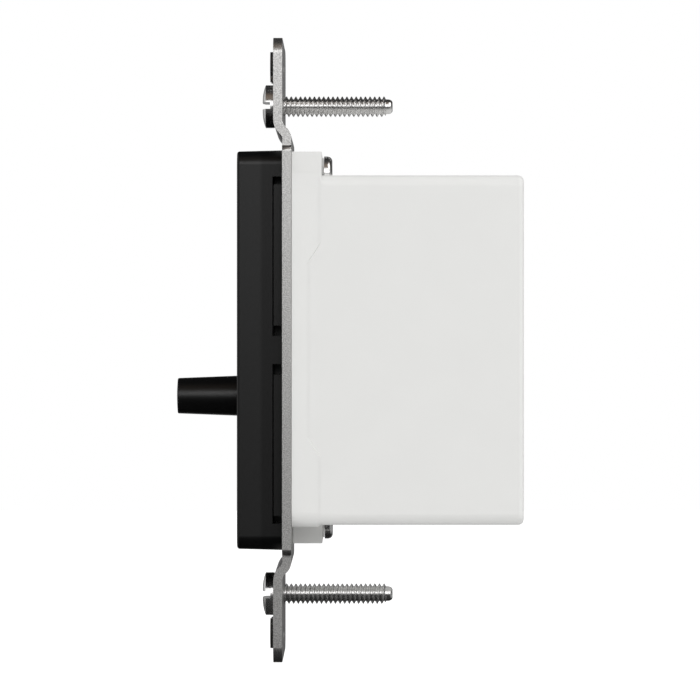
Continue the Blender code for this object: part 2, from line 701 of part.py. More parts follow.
def housing_screws(steel, washer_look):
    """Pan-headed screws and their washers, one at each lug."""
    washer_back = LUG_BACK + SEAT + WASHER_THICK
    seat = washer_back + SEAT
    top = seat + HOUSING_SCREW_HEAD_HEIGHT
    shoulder = top - HOUSING_SCREW_EDGE
    profile = [(HOUSING_SCREW_SHANK, SEAT), (HOUSING_SCREW_SHANK, seat), (HOUSING_SCREW_HEAD, seat)]
    for step in range(6):
        angle = math.radians(90 * step / 5)
        diameter = HOUSING_SCREW_HEAD - 2 * HOUSING_SCREW_EDGE * (1 - math.cos(angle))
        profile.append((diameter, shoulder + HOUSING_SCREW_EDGE * math.sin(angle)))
    bore = HOUSING_SCREW_SHANK + 2 * FIT
    washer_front = LUG_BACK + SEAT
    washer_profile = [(WASHER_OUTER, washer_front), (WASHER_OUTER, washer_back)]
    washer_profile += [(bore, washer_back), (bore, washer_front)]
    for name, end in (("top", 1), ("bottom", -1)):
        place = (end * HOUSING_SCREW_X, 0, end * HOUSING_SCREW_Z)
        turned("housing_screw_" + name, profile, "Y", steel).location = place
        turned("housing_washer_" + name, washer_profile, "Y", washer_look, closed=True).location = place


# Circuit board, terminals and electronic pieces


def circuit_board(look):
    """The board rests on the housing's posts, with a notch where the earth plate passes it."""
    half_x = INNER_X - FIT
    notch_x = INNER_X - SEAT - TERMINAL_THICK - FIT
    half = TERMINAL_WINDOW / 2 + TERMINAL_OVERLAP + FIT
    outline = [
        (-half_x, -BOARD_HALF_Z),
        (half_x, -BOARD_HALF_Z),
        (half_x, BOARD_HALF_Z),
        (-half_x, BOARD_HALF_Z),
        (-half_x, TERMINAL_PITCH + half),
        (-notch_x, TERMINAL_PITCH + half),
        (-notch_x, TERMINAL_PITCH - half),
        (-half_x, TERMINAL_PITCH - half),
    ]
    prism("circuit_board", outline, "Y", BOARD_FRONT, BOARD_BACK, look)


def terminal(name, place, front, plate_look, screw_look):
    """A terminal plate against the inside of the far wall, and its screw in the window."""
    z = place * TERMINAL_PITCH
    half = TERMINAL_WINDOW / 2 + TERMINAL_OVERLAP
    outside = -INNER_X + SEAT
    inside = outside + TERMINAL_THICK
    low = (outside, front, z - half)
    high = (inside, TERMINAL_Y + half, z + half)
    plate = box(name + "_plate", low, high, plate_look)
    bore = circle(TERMINAL_SHANK + 2 * FIT, (TERMINAL_Y, z))
    cut(plate, prism("terminal_bore", bore, "X", -HOUSING_WIDTH, 0))
    seat = outside - SEAT
    edge = TERMINAL_HEAD_HEIGHT / 4
    profile = [
        (TERMINAL_HEAD - 2 * edge, seat - TERMINAL_HEAD_HEIGHT),
        (TERMINAL_HEAD, seat - TERMINAL_HEAD_HEIGHT + edge),
        (TERMINAL_HEAD, seat),
        (TERMINAL_SHANK, seat),
        (TERMINAL_SHANK, inside + TERMINAL_SHANK_LENGTH),
    ]
    turned(name + "_screw", profile, "X", screw_look, 24).location = (0, TERMINAL_Y, z)


def triac(look, pad_look, rivet_look):
    """The power switch lies on a pad on the back of the strap and is riveted to it."""
    low_x = TRIAC_X - TRIAC_WIDTH / 2
    high_x = TRIAC_X + TRIAC_WIDTH / 2
    step_z = TRIAC_Z + TRIAC_BODY_LENGTH
    end_z = step_z + TRIAC_TAB_LENGTH
    body_back = TRIAC_FRONT + TRIAC_BODY_THICK
    tab_back = TRIAC_FRONT + TRIAC_TAB_THICK
    outline = [
        (TRIAC_FRONT, TRIAC_Z),
        (body_back, TRIAC_Z),
        (body_back, step_z),
        (tab_back, step_z),
        (tab_back, end_z),
        (TRIAC_FRONT, end_z),
    ]
    package = prism("triac", outline, "X", low_x, high_x, look)
    cut(package, hole("triac_bore", circle(RIVET_SHANK + 2 * FIT), TRIAC_X, RIVET_Z))
    low = (low_x - PAD_MARGIN, PAD_FRONT, TRIAC_Z - PAD_MARGIN)
    high = (high_x + PAD_MARGIN, PAD_FRONT + PAD_THICK, end_z + PAD_MARGIN)
    pad = box("triac_pad", low, high, pad_look)
    cut(pad, hole("pad_bore", circle(RIVET_SHANK + 2 * FIT), TRIAC_X, RIVET_Z))
    back = tab_back + SEAT
    profile = [
        (RIVET_HEAD, -SEAT - RIVET_HEAD_HEIGHT),
        (RIVET_HEAD, -SEAT),
        (RIVET_SHANK, -SEAT),
        (RIVET_SHANK, back),
        (RIVET_HEAD, back),
        (RIVET_HEAD, back + RIVET_HEAD_HEIGHT),
    ]
    turned("triac_rivet", profile, "Y", rivet_look, 24).location = (TRIAC_X, 0, RIVET_Z)


def choke(core_look, wire_look):
    """The noise choke: a spool core stood on the board, and its winding as one solid ring."""
    low = ON_BOARD + CHOKE_FLANGE
    high = ON_BOARD + CHOKE_HEIGHT - CHOKE_FLANGE
    spool = [
        (CHOKE_DIAMETER, ON_BOARD),
        (CHOKE_DIAMETER, low),
        (CHOKE_HUB, low),
        (CHOKE_HUB, high),
        (CHOKE_DIAMETER, high),
        (CHOKE_DIAMETER, ON_BOARD + CHOKE_HEIGHT),
    ]
    bore = CHOKE_HUB + 2 * SEAT
    low += SEAT
    high -= SEAT
    coil = [(CHOKE_WINDING, low), (CHOKE_WINDING, high), (bore, high), (bore, low)]
    place = (CHOKE_X, 0, CHOKE_Z)
    turned("choke_core", spool, "Y", core_look).location = place
    turned("choke_winding", coil, "Y", wire_look, closed=True).location = place


def block(name, size, x, z, look):
    """A boxed capacitor stood on the back of the board."""
    low = (x - size[0] / 2, ON_BOARD, z - size[2] / 2)
    high = (x + size[0] / 2, ON_BOARD + size[1], z + size[2] / 2)
    box(name, low, high, look)


def axial(name, diameter, length, z, look):
    """A small round piece that lies on the back of the board, along Z."""
    edge = diameter / 6
    profile = [
        (diameter - 2 * edge, -length / 2),
        (diameter, edge - length / 2),
        (diameter, length / 2 - edge),
        (diameter - 2 * edge, length / 2),
    ]
    turned(name, profile, "Z", look, 20).location = (AXIAL_X, ON_BOARD + diameter / 2, z)


def main():
    clear_scene()
    black = material("black_plastic", (0.02, 0.02, 0.022), 0.45)
    pale = material("pale_plastic", (0.76, 0.76, 0.74), 0.5)
    steel = material("strap_steel", (0.55, 0.55, 0.54), 0.4, 1.0)
    bright = material("bright_steel", (0.75, 0.75, 0.76), 0.22, 1.0)
    brass = material("brass", (0.72, 0.55, 0.25), 0.35, 1.0)
    carbon = material("carbon_track", (0.03, 0.03, 0.03), 0.7)
    tan = material("tray_plastic", (0.42, 0.34, 0.22), 0.6)
    green = material("board_green", (0.05, 0.22, 0.09), 0.5)
    earth = material("earth_green", (0.04, 0.3, 0.08), 0.35, 1.0)
    copper = material("winding_copper", (0.6, 0.26, 0.1), 0.4, 1.0)
    ferrite = material("ferrite", (0.06, 0.06, 0.065), 0.6)
    film = material("film_blue", (0.1, 0.16, 0.35), 0.5)
    resin = material("resin_red", (0.35, 0.08, 0.05), 0.5)
    pad = material("pad_grey", (0.6, 0.6, 0.58), 0.7)

    mounting_strap(steel)
    mounting_screws(bright)
    front_cover(black)
    guide_frame(black)

    slider = bpy.data.objects.new("slider", None)
    slider.location.z = KNOB_Z
    bpy.context.scene.collection.objects.link(slider)
    slider_knob(black, slider)
    slider_carriage(black, slider)
    wiper_carrier(tan, slider)
    contact_leaf("wiper_contact", -STRIP_PITCH, brass, slider)
    contact_leaf("switch_bridge", STRIP_PITCH, brass, slider)

    pot_base(tan)
    lowest = -(TRAVEL + CARRIER_LENGTH) / 2
    strip("resistive_track", 0, lowest, carbon)
    strip("collector_track", 1, lowest, brass)
    strip("line_strip", 2, lowest + CARRIER_LENGTH / 2 + SWITCH_GAP, brass)
    strip("load_strip", 3, lowest + CARRIER_LENGTH / 2 + SWITCH_GAP, brass)

    rear_housing(pale)
    housing_screws(bright, pale)
    circuit_board(green)
    terminal("earth_terminal", 1, STRAP_BACK + SEAT, brass, earth)
    terminal("line_terminal", 0, ON_BOARD, brass, brass)
    terminal("load_terminal", -1, ON_BOARD, brass, brass)
    triac(ferrite, pad, bright)
    choke(ferrite, copper)
    block("film_capacitor", FILM_SIZE, FILM_X, FILM_Z, film)
    block("timing_capacitor", TIMING_SIZE, TIMING_X, TIMING_Z, resin)
    axial("gate_resistor", RESISTOR_DIAMETER, RESISTOR_LENGTH, RESISTOR_Z, tan)
    axial("trigger_diac", DIAC_DIAMETER, DIAC_LENGTH, DIAC_Z, film)


main()
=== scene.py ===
"""Looks for a slide dimmer: finished pieces, materials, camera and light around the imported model.

Metres, +Z up. X runs across the device, -Y points into the room and +Y into the wall.
"""

import json
import math

import bmesh
import bpy
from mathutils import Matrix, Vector


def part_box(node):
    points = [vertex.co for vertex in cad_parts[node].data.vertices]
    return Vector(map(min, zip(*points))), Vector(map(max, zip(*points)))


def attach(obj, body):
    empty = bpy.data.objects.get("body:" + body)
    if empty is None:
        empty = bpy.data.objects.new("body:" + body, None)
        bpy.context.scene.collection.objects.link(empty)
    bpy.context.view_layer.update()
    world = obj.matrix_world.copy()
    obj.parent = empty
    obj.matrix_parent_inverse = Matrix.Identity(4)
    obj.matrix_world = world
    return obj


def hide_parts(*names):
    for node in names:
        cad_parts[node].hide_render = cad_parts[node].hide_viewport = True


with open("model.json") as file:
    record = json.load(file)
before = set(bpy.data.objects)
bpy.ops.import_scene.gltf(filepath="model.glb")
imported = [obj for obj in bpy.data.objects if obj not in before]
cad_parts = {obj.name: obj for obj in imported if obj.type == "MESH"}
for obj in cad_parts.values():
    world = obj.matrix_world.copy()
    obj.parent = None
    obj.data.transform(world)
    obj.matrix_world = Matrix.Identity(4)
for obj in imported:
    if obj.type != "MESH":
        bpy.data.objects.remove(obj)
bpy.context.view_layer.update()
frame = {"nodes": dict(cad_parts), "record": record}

MM = 0.001
nodes = frame["nodes"]

# Clearances
SEAT = 0.06 * MM
FIT = 0.3 * MM
RUN = 0.3 * MM

# Mounting strap
STRAP_THICK = 1.52 * MM
STRAP_LENGTH = 104.5 * MM
EAR_WIDTH = 35.4 * MM
EAR_CORNER = 2.75 * MM
MIDDLE_WIDTH = 39.2 * MM
MIDDLE_LENGTH = 68.3 * MM
MIDDLE_CORNER = 1.0 * MM
FLAT_LENGTH = 70.6 * MM
JOGGLE_LENGTH = 3.3 * MM
LOWER_BEND = 1.65 * MM
WINDOW_WIDTH = 8.0 * MM
WINDOW_CORNER = 1.0 * MM
PLATE_SCREW_SPACING = 96.84 * MM
PLATE_HOLE = 2.9 * MM
COLLAR_OUTER = 5.2 * MM
COLLAR_HEIGHT = 0.8 * MM
COLLAR_LIP_WIDTH = 1.6 * MM
COLLAR_LIP_HEIGHT = 0.6 * MM
HOLE_REACH = 6 * STRAP_THICK

# Mounting screws
BOX_SCREW_SPACING = 83.34 * MM
BOX_SCREW_SHANK = 3.5 * MM
BOX_SCREW_LENGTH = 20.17 * MM
BOX_SCREW_POINT = 2.5 * MM
BOX_SCREW_POINT_LENGTH = 1.1 * MM
BOX_SCREW_POINT_EDGE = 0.55 * MM
BOX_SCREW_POINT_ROUND = 0.8 * MM
BOX_SCREW_HEAD = 7.33 * MM
BOX_SCREW_RIM = 1.5 * MM
BOX_SCREW_DOME = 0.55 * MM
BOX_SCREW_DOME_POWER = 3
BOX_SCREW_HEAD_EDGE = 0.08 * MM
BOX_SCREW_NECK = 0.05 * MM
BOX_SCREW_SLOT = 1.15 * MM
BOX_SCREW_SLOT_DEPTH = 1.35 * MM
EAR_SLOT_LENGTH = 6.6 * MM
THREAD_PITCH = 25.4 / 32 * MM
THREAD_DEPTH = 0.49 * MM
THREAD_START = 0.27  # of a turn
THREAD_CREST = 1 / 16  # of the pitch, to each side of the crest's middle
THREAD_FLANK = 0.354  # of the pitch
THREAD_CURVE = 0.25  # share of a smooth curve in a flank that is otherwise straight
THREAD_FADE_IN = 0.5  # of the pitch
THREAD_FADE_OUT = 0.15  # of the pitch

# Front cover and knob
COVER_WIDTH = 33.0 * MM
COVER_HEIGHT = 66.97 * MM
COVER_DEPTH = 7.6 * MM
COVER_CORNER = 2.5 * MM
COVER_DRAFT = 0.18 * MM
COVER_EDGE = 0.45 * MM
COVER_WALL = 1.8 * MM
COVER_FRONT = 2.0 * MM
TRACK_DEPTH = 0.6 * MM
NOTCH_DEPTH = 1.63 * MM
NOTCH_LENGTH = 26.66 * MM
NOTCH_SPACING = 31.34 * MM
LATCH_WIDTH = 3.8 * MM
LATCH_THICK = 1.9 * MM
LATCH_HOOK = 0.8 * MM
LATCH_REACH = 1.1 * MM
LATCH_ROOT = 0.3 * MM
TRAVEL = 30.0 * MM
KNOB_Z = -7.78 * MM
KNOB_WIDTH = 11.0 * MM
KNOB_HEIGHT = 6.85 * MM
KNOB_REACH = 10.57 * MM
KNOB_TAPER = 0.41 * MM
KNOB_EDGE = 0.2 * MM
KNOB_EDGE_TURN = 75  # degrees
KNOB_DOME = 0.12 * MM
KNOB_TIP_FLAT = 0.6  # of a step of the dome, left flat in its middle
STEM_WIDTH = 2.6 * MM
STEM_HEIGHT = 4.8 * MM
TONGUE_LENGTH = 23.6 * MM
TONGUE_SPACING = 31.8 * MM
TONGUE_RECESS = 0.15 * MM
FRAME_THICK = 1.4 * MM
RAIL_HEIGHT = 1.1 * MM
RAIL_WIDTH = 1.8 * MM
RAIL_SPACING = 13.0 * MM
RAIL_MARGIN = 1.6 * MM

# Rear housing
HOUSING_WIDTH = 38.0 * MM
HOUSING_HEIGHT = 58.3 * MM
HOUSING_DEPTH = 38.68 * MM
HOUSING_CORNER = 2.0 * MM
HOUSING_EDGE = 0.9 * MM
HOUSING_WALL = 1.8 * MM
HOUSING_FLOOR = 2.0 * MM
RIM_STEP = 0.34 * MM
RIM_SLOPE = 0.6 * MM
RAMP_SLOPE = 0.1 * MM
RIM_DEPTH = 3.1 * MM
RIM_SHALLOW_LENGTH = 29.46 * MM
RIM_RAMP = 2.95 * MM
LUG_THICK = 5.0 * MM
LUG_WIDTH = 20.0 * MM
LUG_SPAN = 66.07 * MM
POST_DIAMETER = 3.2 * MM
POST_SPACING_X = 28.6 * MM
POST_SPACING_Z = 42.0 * MM
TERMINAL_PITCH = 13.0 * MM
TERMINAL_WINDOW = 7.4 * MM
TERMINAL_HEAD = 6.6 * MM
TERMINAL_HEAD_HEIGHT = 2.0 * MM
TERMINAL_HEAD_EDGE = 0.5 * MM
TERMINAL_SHANK = 3.4 * MM
TERMINAL_SLOT = 1.0 * MM
TERMINAL_SLOT_DEPTH = 0.9 * MM

# Housing screws and washers
HOUSING_SCREW_HEAD = 5.7 * MM
HOUSING_SCREW_HEAD_HEIGHT = 1.4 * MM
HOUSING_SCREW_EDGE = 0.85 * MM
HOUSING_SCREW_SHANK = 2.7 * MM
HOUSING_SCREW_THREAD_DEPTH = 0.35 * MM
HOUSING_SCREW_NECK = 0.02 * MM
HOUSING_SCREW_MARGIN = 0.335 * MM
WASHER_OUTER = 5.2 * MM
WASHER_THICK = 0.23 * MM
WASHER_EDGE = 0.05 * MM
DRIVER_ROOM = 0.45 * MM
RECESS_LENGTH = 3.0 * MM
RECESS_WIDTH = 0.75 * MM
RECESS_DEPTH = 0.85 * MM

# Levels along Y and places that several pieces share
COVER_Y = -COVER_DEPTH
TRACK_FLOOR = COVER_Y + TRACK_DEPTH
CARRIAGE_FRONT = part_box("slider_carriage")[0].y
STRAP_BACK = STRAP_THICK
HOUSING_FRONT = STRAP_BACK + SEAT
LUG_BACK = HOUSING_FRONT + LUG_THICK
HOUSING_BACK = HOUSING_FRONT + HOUSING_DEPTH
ON_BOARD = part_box("circuit_board")[1].y + SEAT
SLOT_HALF = STEM_WIDTH / 2 + RUN
SLOT_REACH = TRAVEL / 2 + STEM_HEIGHT / 2 + RUN
HOUSING_SCREW_X = (HOUSING_WIDTH - LUG_WIDTH) / 2
HOUSING_SCREW_Z = LUG_SPAN / 2 - HOUSING_SCREW_MARGIN - HOUSING_SCREW_HEAD / 2
CHANNEL_HALF = HOUSING_SCREW_HEAD / 2 + DRIVER_ROOM
CHANNEL_FLOOR = HOUSING_SCREW_Z - CHANNEL_HALF
INNER_X = HOUSING_WIDTH / 2 - HOUSING_WALL
LATCH_OUT = COVER_WIDTH / 2 - COVER_WALL + LATCH_ROOT
RIVET_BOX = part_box("triac_rivet")
RIVET_SHANK = 2.8 * MM

# Finishes
# Where along Y the cover's reflection turns weaker, so that the cover reads darker behind it
GLOSS_LINE = -3.55 * MM
GLOSS_BLEND = 0.3 * MM
SATIN_BLACK = (0.0012, 0.0012, 0.0013)
SATIN_GLOSS = 0.6
COVER_GLOSS = 0.49
COVER_DULL = 0.36
FLOW_MARKS = 9 * MM
GRAIN = 0.2 * MM
GRAIN_DEPTH = 0.003 * MM
SPECKLE = 0.18 * MM
SPECKLE_DEPTH = 0.002 * MM
BURNISH_BLEND = 0.1 * MM
TARNISH = 1.2 * MM
SMEAR = 0.4 * MM
RIPPLE = 0.6 * MM
RIPPLE_DEPTH = 0.002 * MM
WEAVE = 0.5 * MM
WEAVE_DEPTH = 0.01 * MM
ROUGHNESS_CHANGE = 0.04

# Camera, worked out from the screws' spacing and from how far the strap's far edges stand off its near ones
CAMERA_DISTANCE = 0.668
CAMERA_Y = 11.305 * MM
CAMERA_Z = 0.03 * MM
CAMERA_LENS = 200.7  # millimetres
CAMERA_SENSOR = 36  # millimetres
CAMERA_CLIP = 0.01

# Floor
FLOOR_Z = -0.11
FLOOR_THICK = 0.01
FLOOR_SIZE = 4.0
FLOOR_GLOW = 0.6

# Lamps, with directions in degrees round from the camera's side and up
LAMP_DISTANCE = 1.3
KEY = {"round": 20, "up": 19, "wide": 1.5, "tall": 0.62, "power": 5.75}
WING = {"round": 52, "up": 45, "wide": 0.8, "tall": 0.8, "power": 3.0}

# Colours of the room round the object, and pairs of levels that fade from the first to the second
WHITE = (1.0, 1.0, 1.0)
MID_GREY = (0.35, 0.35, 0.35)
DARK = (0.02, 0.02, 0.02)
PALE_LEVELS = (0.17, 0.6)
ROOM_LEVELS = (0.3, 0.6)
SOFT_LEVELS = (0.32, 1.01)

# Where each field of the room starts and where it is whole, by the X, Y or Z part of a direction
NEAR_X = (-0.1, 0.15)
FAR_X = (-0.45, -0.7)
FARTHEST_X = (-0.8, -0.9)
BEHIND_X = (-0.9975, -0.9995)
PAST_ROOM_Y = (-0.35, -0.2)
PALE_Y = (-0.35, -0.5)
ROOM_Y = (-0.5, -0.7)
WALL_Y = (0.6, 0.8)
LOW_Z = (-0.1, -0.2)
LEVEL_Z = (-0.13, -0.05)
HIGH_Z = (0.25, 0.4)
ROOM_Z = (-0.2, 0.1)
SKY_Z = (0.0, 1.0)

# Mesh
ROUND = 64  # sides of a round piece
POST_SIDES = 24  # sides of a board post
CORNER = 12  # steps round a corner
EDGE_STEPS = 8  # steps round a moulded edge
PAN_STEPS = 9  # steps round a pan head's edge
DOME_STEPS = 16  # steps up a round head
THREAD_STEPS = 12  # steps along one turn of a thread
FINE_EDGE = 0.03 * MM  # rounding of a sharp edge
HOUSING_FINE_EDGE = 0.025 * MM
FINE_EDGE_STEPS = 2
SHARP_ANGLE = math.radians(40)  # an edge that turns more is sharp
FLAT_ANGLE = math.radians(0.3)  # faces that turn less are joined
SAME_POINT = 0.001 * MM  # an outline's points that lie closer are one
WELD = 0.002 * MM  # a solid's points that lie closer are one


# Outlines, as lists of points that run anticlockwise


def arc(centre, radius, start, stop, steps=CORNER):
    """Points along a circular arc between two angles in degrees."""
    points = []
    for step in range(steps + 1):
        angle = math.radians(start + (stop - start) * step / steps)
        points.append((centre[0] + radius * math.cos(angle), centre[1] + radius * math.sin(angle)))
    return points


def sweep(turn=90, steps=EDGE_STEPS):
    """Angles in radians from 0 to a turn in degrees, in equal steps."""
    return [math.radians(turn * step / steps) for step in range(steps + 1)]


def circle(diameter, steps=ROUND):
    return arc((0, 0), diameter / 2, 0, 360, steps)[:-1]


def four_ways(quarter):
    """A whole outline from its first quadrant, given from the first axis round to the second."""
    left = [(-u, v) for u, v in reversed(quarter)]
    below = [(-u, -v) for u, v in quarter]
    right = [(u, -v) for u, v in reversed(quarter)]
    whole = quarter + left + below + right
    return [point for i, point in enumerate(whole) if math.dist(point, whole[i - 1]) > SAME_POINT]


def rounded_rectangle(width, height, radius):
    corner = (width / 2 - radius, height / 2 - radius)
    return four_ways(arc(corner, radius, 0, 90))


def rectangle(low, high):
    return [(low[0], low[1]), (high[0], low[1]), (high[0], high[1]), (low[0], high[1])]


def stadium(width, height):
    """A slot with round ends; the longer side may be either one."""
    steps = ROUND // 4
    if width > height:
        return four_ways(arc(((width - height) / 2, 0), height / 2, 0, 90, steps))
    return four_ways(arc((0, (height - width) / 2), width / 2, 0, 90, steps))


# Solids


def ring(outline, axis, level):
    """An outline stood square to an axis: it is read as (Y, Z), (X, Z) or (X, Y)."""
    if axis == "X":
        return [(level, u, v) for u, v in outline]
    if axis == "Y":
        return [(u, level, v) for u, v in outline]
    return [(u, v, level) for u, v in outline]


def loft(name, rings, closed=False):
    """A solid through rings of equal count, capped at its ends or, for a tube, closed on itself."""
    shape = bmesh.new()
    loops = [[shape.verts.new(point) for point in one] for one in rings]
    pairs = list(zip(loops, loops[1:]))
    if closed:
        pairs.append((loops[-1], loops[0]))
    else:
        shape.faces.new(loops[0])
        shape.faces.new(loops[-1])
    for near, far in pairs:
        for i in range(len(near)):
            j = (i + 1) % len(near)
            shape.faces.new((near[i], near[j], far[j], far[i]))
    bmesh.ops.recalc_face_normals(shape, faces=shape.faces)
    mesh = bpy.data.meshes.new(name)
    shape.to_mesh(mesh)
    shape.free()
    made = bpy.data.objects.new(name, mesh)
    bpy.context.scene.collection.objects.link(made)
    return made


def prism(name, outline, axis, start, stop):
    return loft(name, [ring(outline, axis, start), ring(outline, axis, stop)])


def box(name, low, high):
    return prism(name, rectangle((low[0], low[2]), (high[0], high[2])), "Y", low[1], high[1])


def turned(name, profile, axis, closed=False, steps=ROUND):
    """A turned piece from (diameter, level) pairs along its axis."""
    return loft(name, [ring(circle(d, steps=steps), axis, level) for d, level in profile], closed)


def combine(target, tool, operation):
    step = target.modifiers.new(tool.name, "BOOLEAN")
    step.operation = operation
    step.object = tool


def cut(target, tool):
    combine(target, tool, "DIFFERENCE")


def join(target, tool):
    combine(target, tool, "UNION")


def settle(piece, edge=0.0):
    """Applies a piece's cuts, takes its tools away, rounds its sharp edges and sets its shading."""
    tools = [modifier.object for modifier in piece.modifiers if modifier.type == "BOOLEAN"]
    inner = [m.object for tool in tools for m in tool.modifiers if m.type == "BOOLEAN"]
    apply_modifiers(piece)
    for tool in tools + inner:
        bpy.data.objects.remove(tool)
    shape = bmesh.new()
    shape.from_mesh(piece.data)
    bmesh.ops.remove_doubles(shape, verts=shape.verts, dist=WELD)
    bmesh.ops.dissolve_limit(shape, angle_limit=FLAT_ANGLE, verts=shape.verts, edges=shape.edges)
    shape.to_mesh(piece.data)
    shape.free()
    if edge:
        rounding = piece.modifiers.new("rounding", "BEVEL")
        rounding.width = edge
        rounding.segments = FINE_EDGE_STEPS
        rounding.limit_method = "ANGLE"
        rounding.angle_limit = SHARP_ANGLE
        apply_modifiers(piece)
    piece.data.shade_smooth()
    piece.data.set_sharp_from_angle(angle=SHARP_ANGLE)
    weights = piece.modifiers.new("weights", "WEIGHTED_NORMAL")
    weights.keep_sharp = True


def apply_modifiers(piece):
    """Makes what a piece's modifiers give its own mesh."""
    bpy.context.view_layer.update()
    graph = bpy.context.evaluated_depsgraph_get()
    mesh = bpy.data.meshes.new_from_object(piece.evaluated_get(graph))
    piece.modifiers.clear()
    piece.data = mesh


def place(piece, body, slot, look, *stands_for):
    """Gives a finished piece its material and its body, and hides the CAD nodes that it stands for."""
    piece.data.materials.clear()
    piece.data.materials.append(look)
    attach(piece, body)
    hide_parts(*stands_for)


# Materials


class Graph:
    """A node tree, with the few kinds of node that the materials and the world are made of."""

    def __init__(self, tree):
        self.tree = tree

    def add(self, kind):
        return self.tree.nodes.new("ShaderNode" + kind)

    def link(self, source, node, socket):
        self.tree.links.new(source, node.inputs[socket])

    def spread(self, source, low, high, start=0.35, stop=0.65):
        """A pattern's values between start and stop, stretched to run from low to high."""
        made = self.add("MapRange")
        for socket, value in zip(("From Min", "From Max", "To Min", "To Max"), (start, stop, low, high)):
            made.inputs[socket].default_value = value
        self.link(source, made, "Value")
        return made.outputs["Result"]

    def along(self, source, axis):
        made = self.add("SeparateXYZ")
        self.link(source, made, "Vector")
        return made.outputs[axis]

    def field(self, source, limits):
        """0 before the first limit and 1 past the second; the limits may fall."""
        return self.spread(source, 0.0, 1.0, *limits)

    def both(self, first, second):
        made = self.add("Math")
        made.operation = "MULTIPLY"
        self.link(first, made, 0)
        self.link(second, made, 1)
        return made.outputs["Value"]

    def choose(self, share, without, within):
        """Goes from one value to another with a share; each is a colour or a node's output."""
        made = self.add("Mix")
        made.data_type = "RGBA"
        first, second = [socket for socket in made.inputs if socket.type == "RGBA"]
        self.link(share, made, "Factor")
        for socket, value in ((first, without), (second, within)):
            if isinstance(value, tuple):
                socket.default_value = (*value, 1)
            else:
                self.tree.links.new(value, socket)
        return next(socket for socket in made.outputs if socket.type == "RGBA")


class Look(Graph):
    """A material whose colour, roughness and bump come from a few procedural nodes."""

    def __init__(self, name, metallic=0.0):
        self.name = name
        self.material = bpy.data.materials.new(name)
        self.material.use_nodes = True
        super().__init__(self.material.node_tree)
        self.shader = self.tree.nodes["Principled BSDF"]
        self.shader.inputs["Metallic"].default_value = metallic
        self.place = self.add("TexCoord").outputs["Object"]

    def noise(self, size, detail=3.0, stretch=None):
        """A cloudy pattern with features of about the given size, or finer along an axis by its stretch."""
        made = self.add("TexNoise")
        made.inputs["Scale"].default_value = 1 / size
        made.inputs["Detail"].default_value = detail
        source = self.place
        if stretch:
            mapping = self.add("Mapping")
            mapping.inputs["Scale"].default_value = stretch
            self.link(source, mapping, "Vector")
            source = mapping.outputs["Vector"]
        self.link(source, made, "Vector")
        return made.outputs["Fac"]

    def colours(self, source, dark, light, start=0.3, stop=0.7):
        made = self.add("ValToRGB")
        first, last = made.color_ramp.elements
        first.position = start
        first.color = (*dark, 1)
        last.position = stop
        last.color = (*light, 1)
        self.link(source, made, "Fac")
        self.link(made.outputs["Color"], self.shader, "Base Color")

    def roughness(self, source, low, high):
        self.link(self.spread(source, low, high), self.shader, "Roughness")

    def bump(self, source, depth):
        made = self.add("Bump")
        made.inputs["Distance"].default_value = depth
        self.link(source, made, "Height")
        self.link(made.outputs["Normal"], self.shader, "Normal")


def shade(colour, share):
    return tuple(value * share for value in colour)


def moulded_plastic(name, colour, roughness, change):
    """Moulded plastic with a fine spark-eroded grain and faint flow marks."""
    look = Look(name)
    look.colours(look.noise(FLOW_MARKS, detail=2.0), shade(colour, 1 - change), shade(colour, 1 + change))
    fine = look.noise(GRAIN, detail=4.0)
    look.roughness(fine, roughness - ROUGHNESS_CHANGE, roughness + ROUGHNESS_CHANGE)
    look.bump(fine, GRAIN_DEPTH)
    return look


def satin_black(name, gloss_line=None):
    """Black moulded plastic; behind a line along Y its reflection is weaker, so it reads darker there."""
    look = moulded_plastic(name, SATIN_BLACK, roughness=0.32, change=0.15)
    look.shader.inputs["Specular IOR Level"].default_value = SATIN_GLOSS
    if gloss_line is not None:
        level = look.along(look.place, "Y")
        front = gloss_line - GLOSS_BLEND
        back = gloss_line + GLOSS_BLEND
        gloss = look.spread(level, COVER_GLOSS, COVER_DULL, front, back)
        look.link(gloss, look.shader, "Specular IOR Level")
    return look


def plated_sheet(name, colour, roughness, burnished):
    """Zinc-plated sheet steel with a crystalline speckle; the press leaves its raised collars smoother."""
    look = Look(name, metallic=1.0)
    speckle = look.noise(SPECKLE, detail=1.0)
    look.colours(speckle, shade(colour, 0.76), shade(colour, 1.24), start=0.36, stop=0.64)
    level = look.along(look.place, "Y")
    raised = -STRAP_THICK - BURNISH_BLEND
    look.link(look.spread(level, burnished, roughness, raised, -STRAP_THICK), look.shader, "Roughness")
    look.bump(speckle, SPECKLE_DEPTH)
    return look


def bright_metal(name, colour, roughness):
    """Plated or plain bright metal with a little tarnish and unevenness."""
    look = Look(name, metallic=1.0)
    look.colours(look.noise(TARNISH, detail=4.0), shade(colour, 0.9), shade(colour, 1.06))
    look.roughness(look.noise(SMEAR), roughness - ROUGHNESS_CHANGE, roughness + ROUGHNESS_CHANGE)
    look.bump(look.noise(RIPPLE), RIPPLE_DEPTH)
    return look


def laminate(name, colour):
    """Lacquered board with its glass weave showing faintly through."""
    look = Look(name)
    weave = look.noise(WEAVE, detail=1.0, stretch=(1, 1, 4))
    look.colours(weave, shade(colour, 0.8), shade(colour, 1.2))
    look.roughness(weave, low=0.3, high=0.45)
    look.bump(weave, WEAVE_DEPTH)
    return look


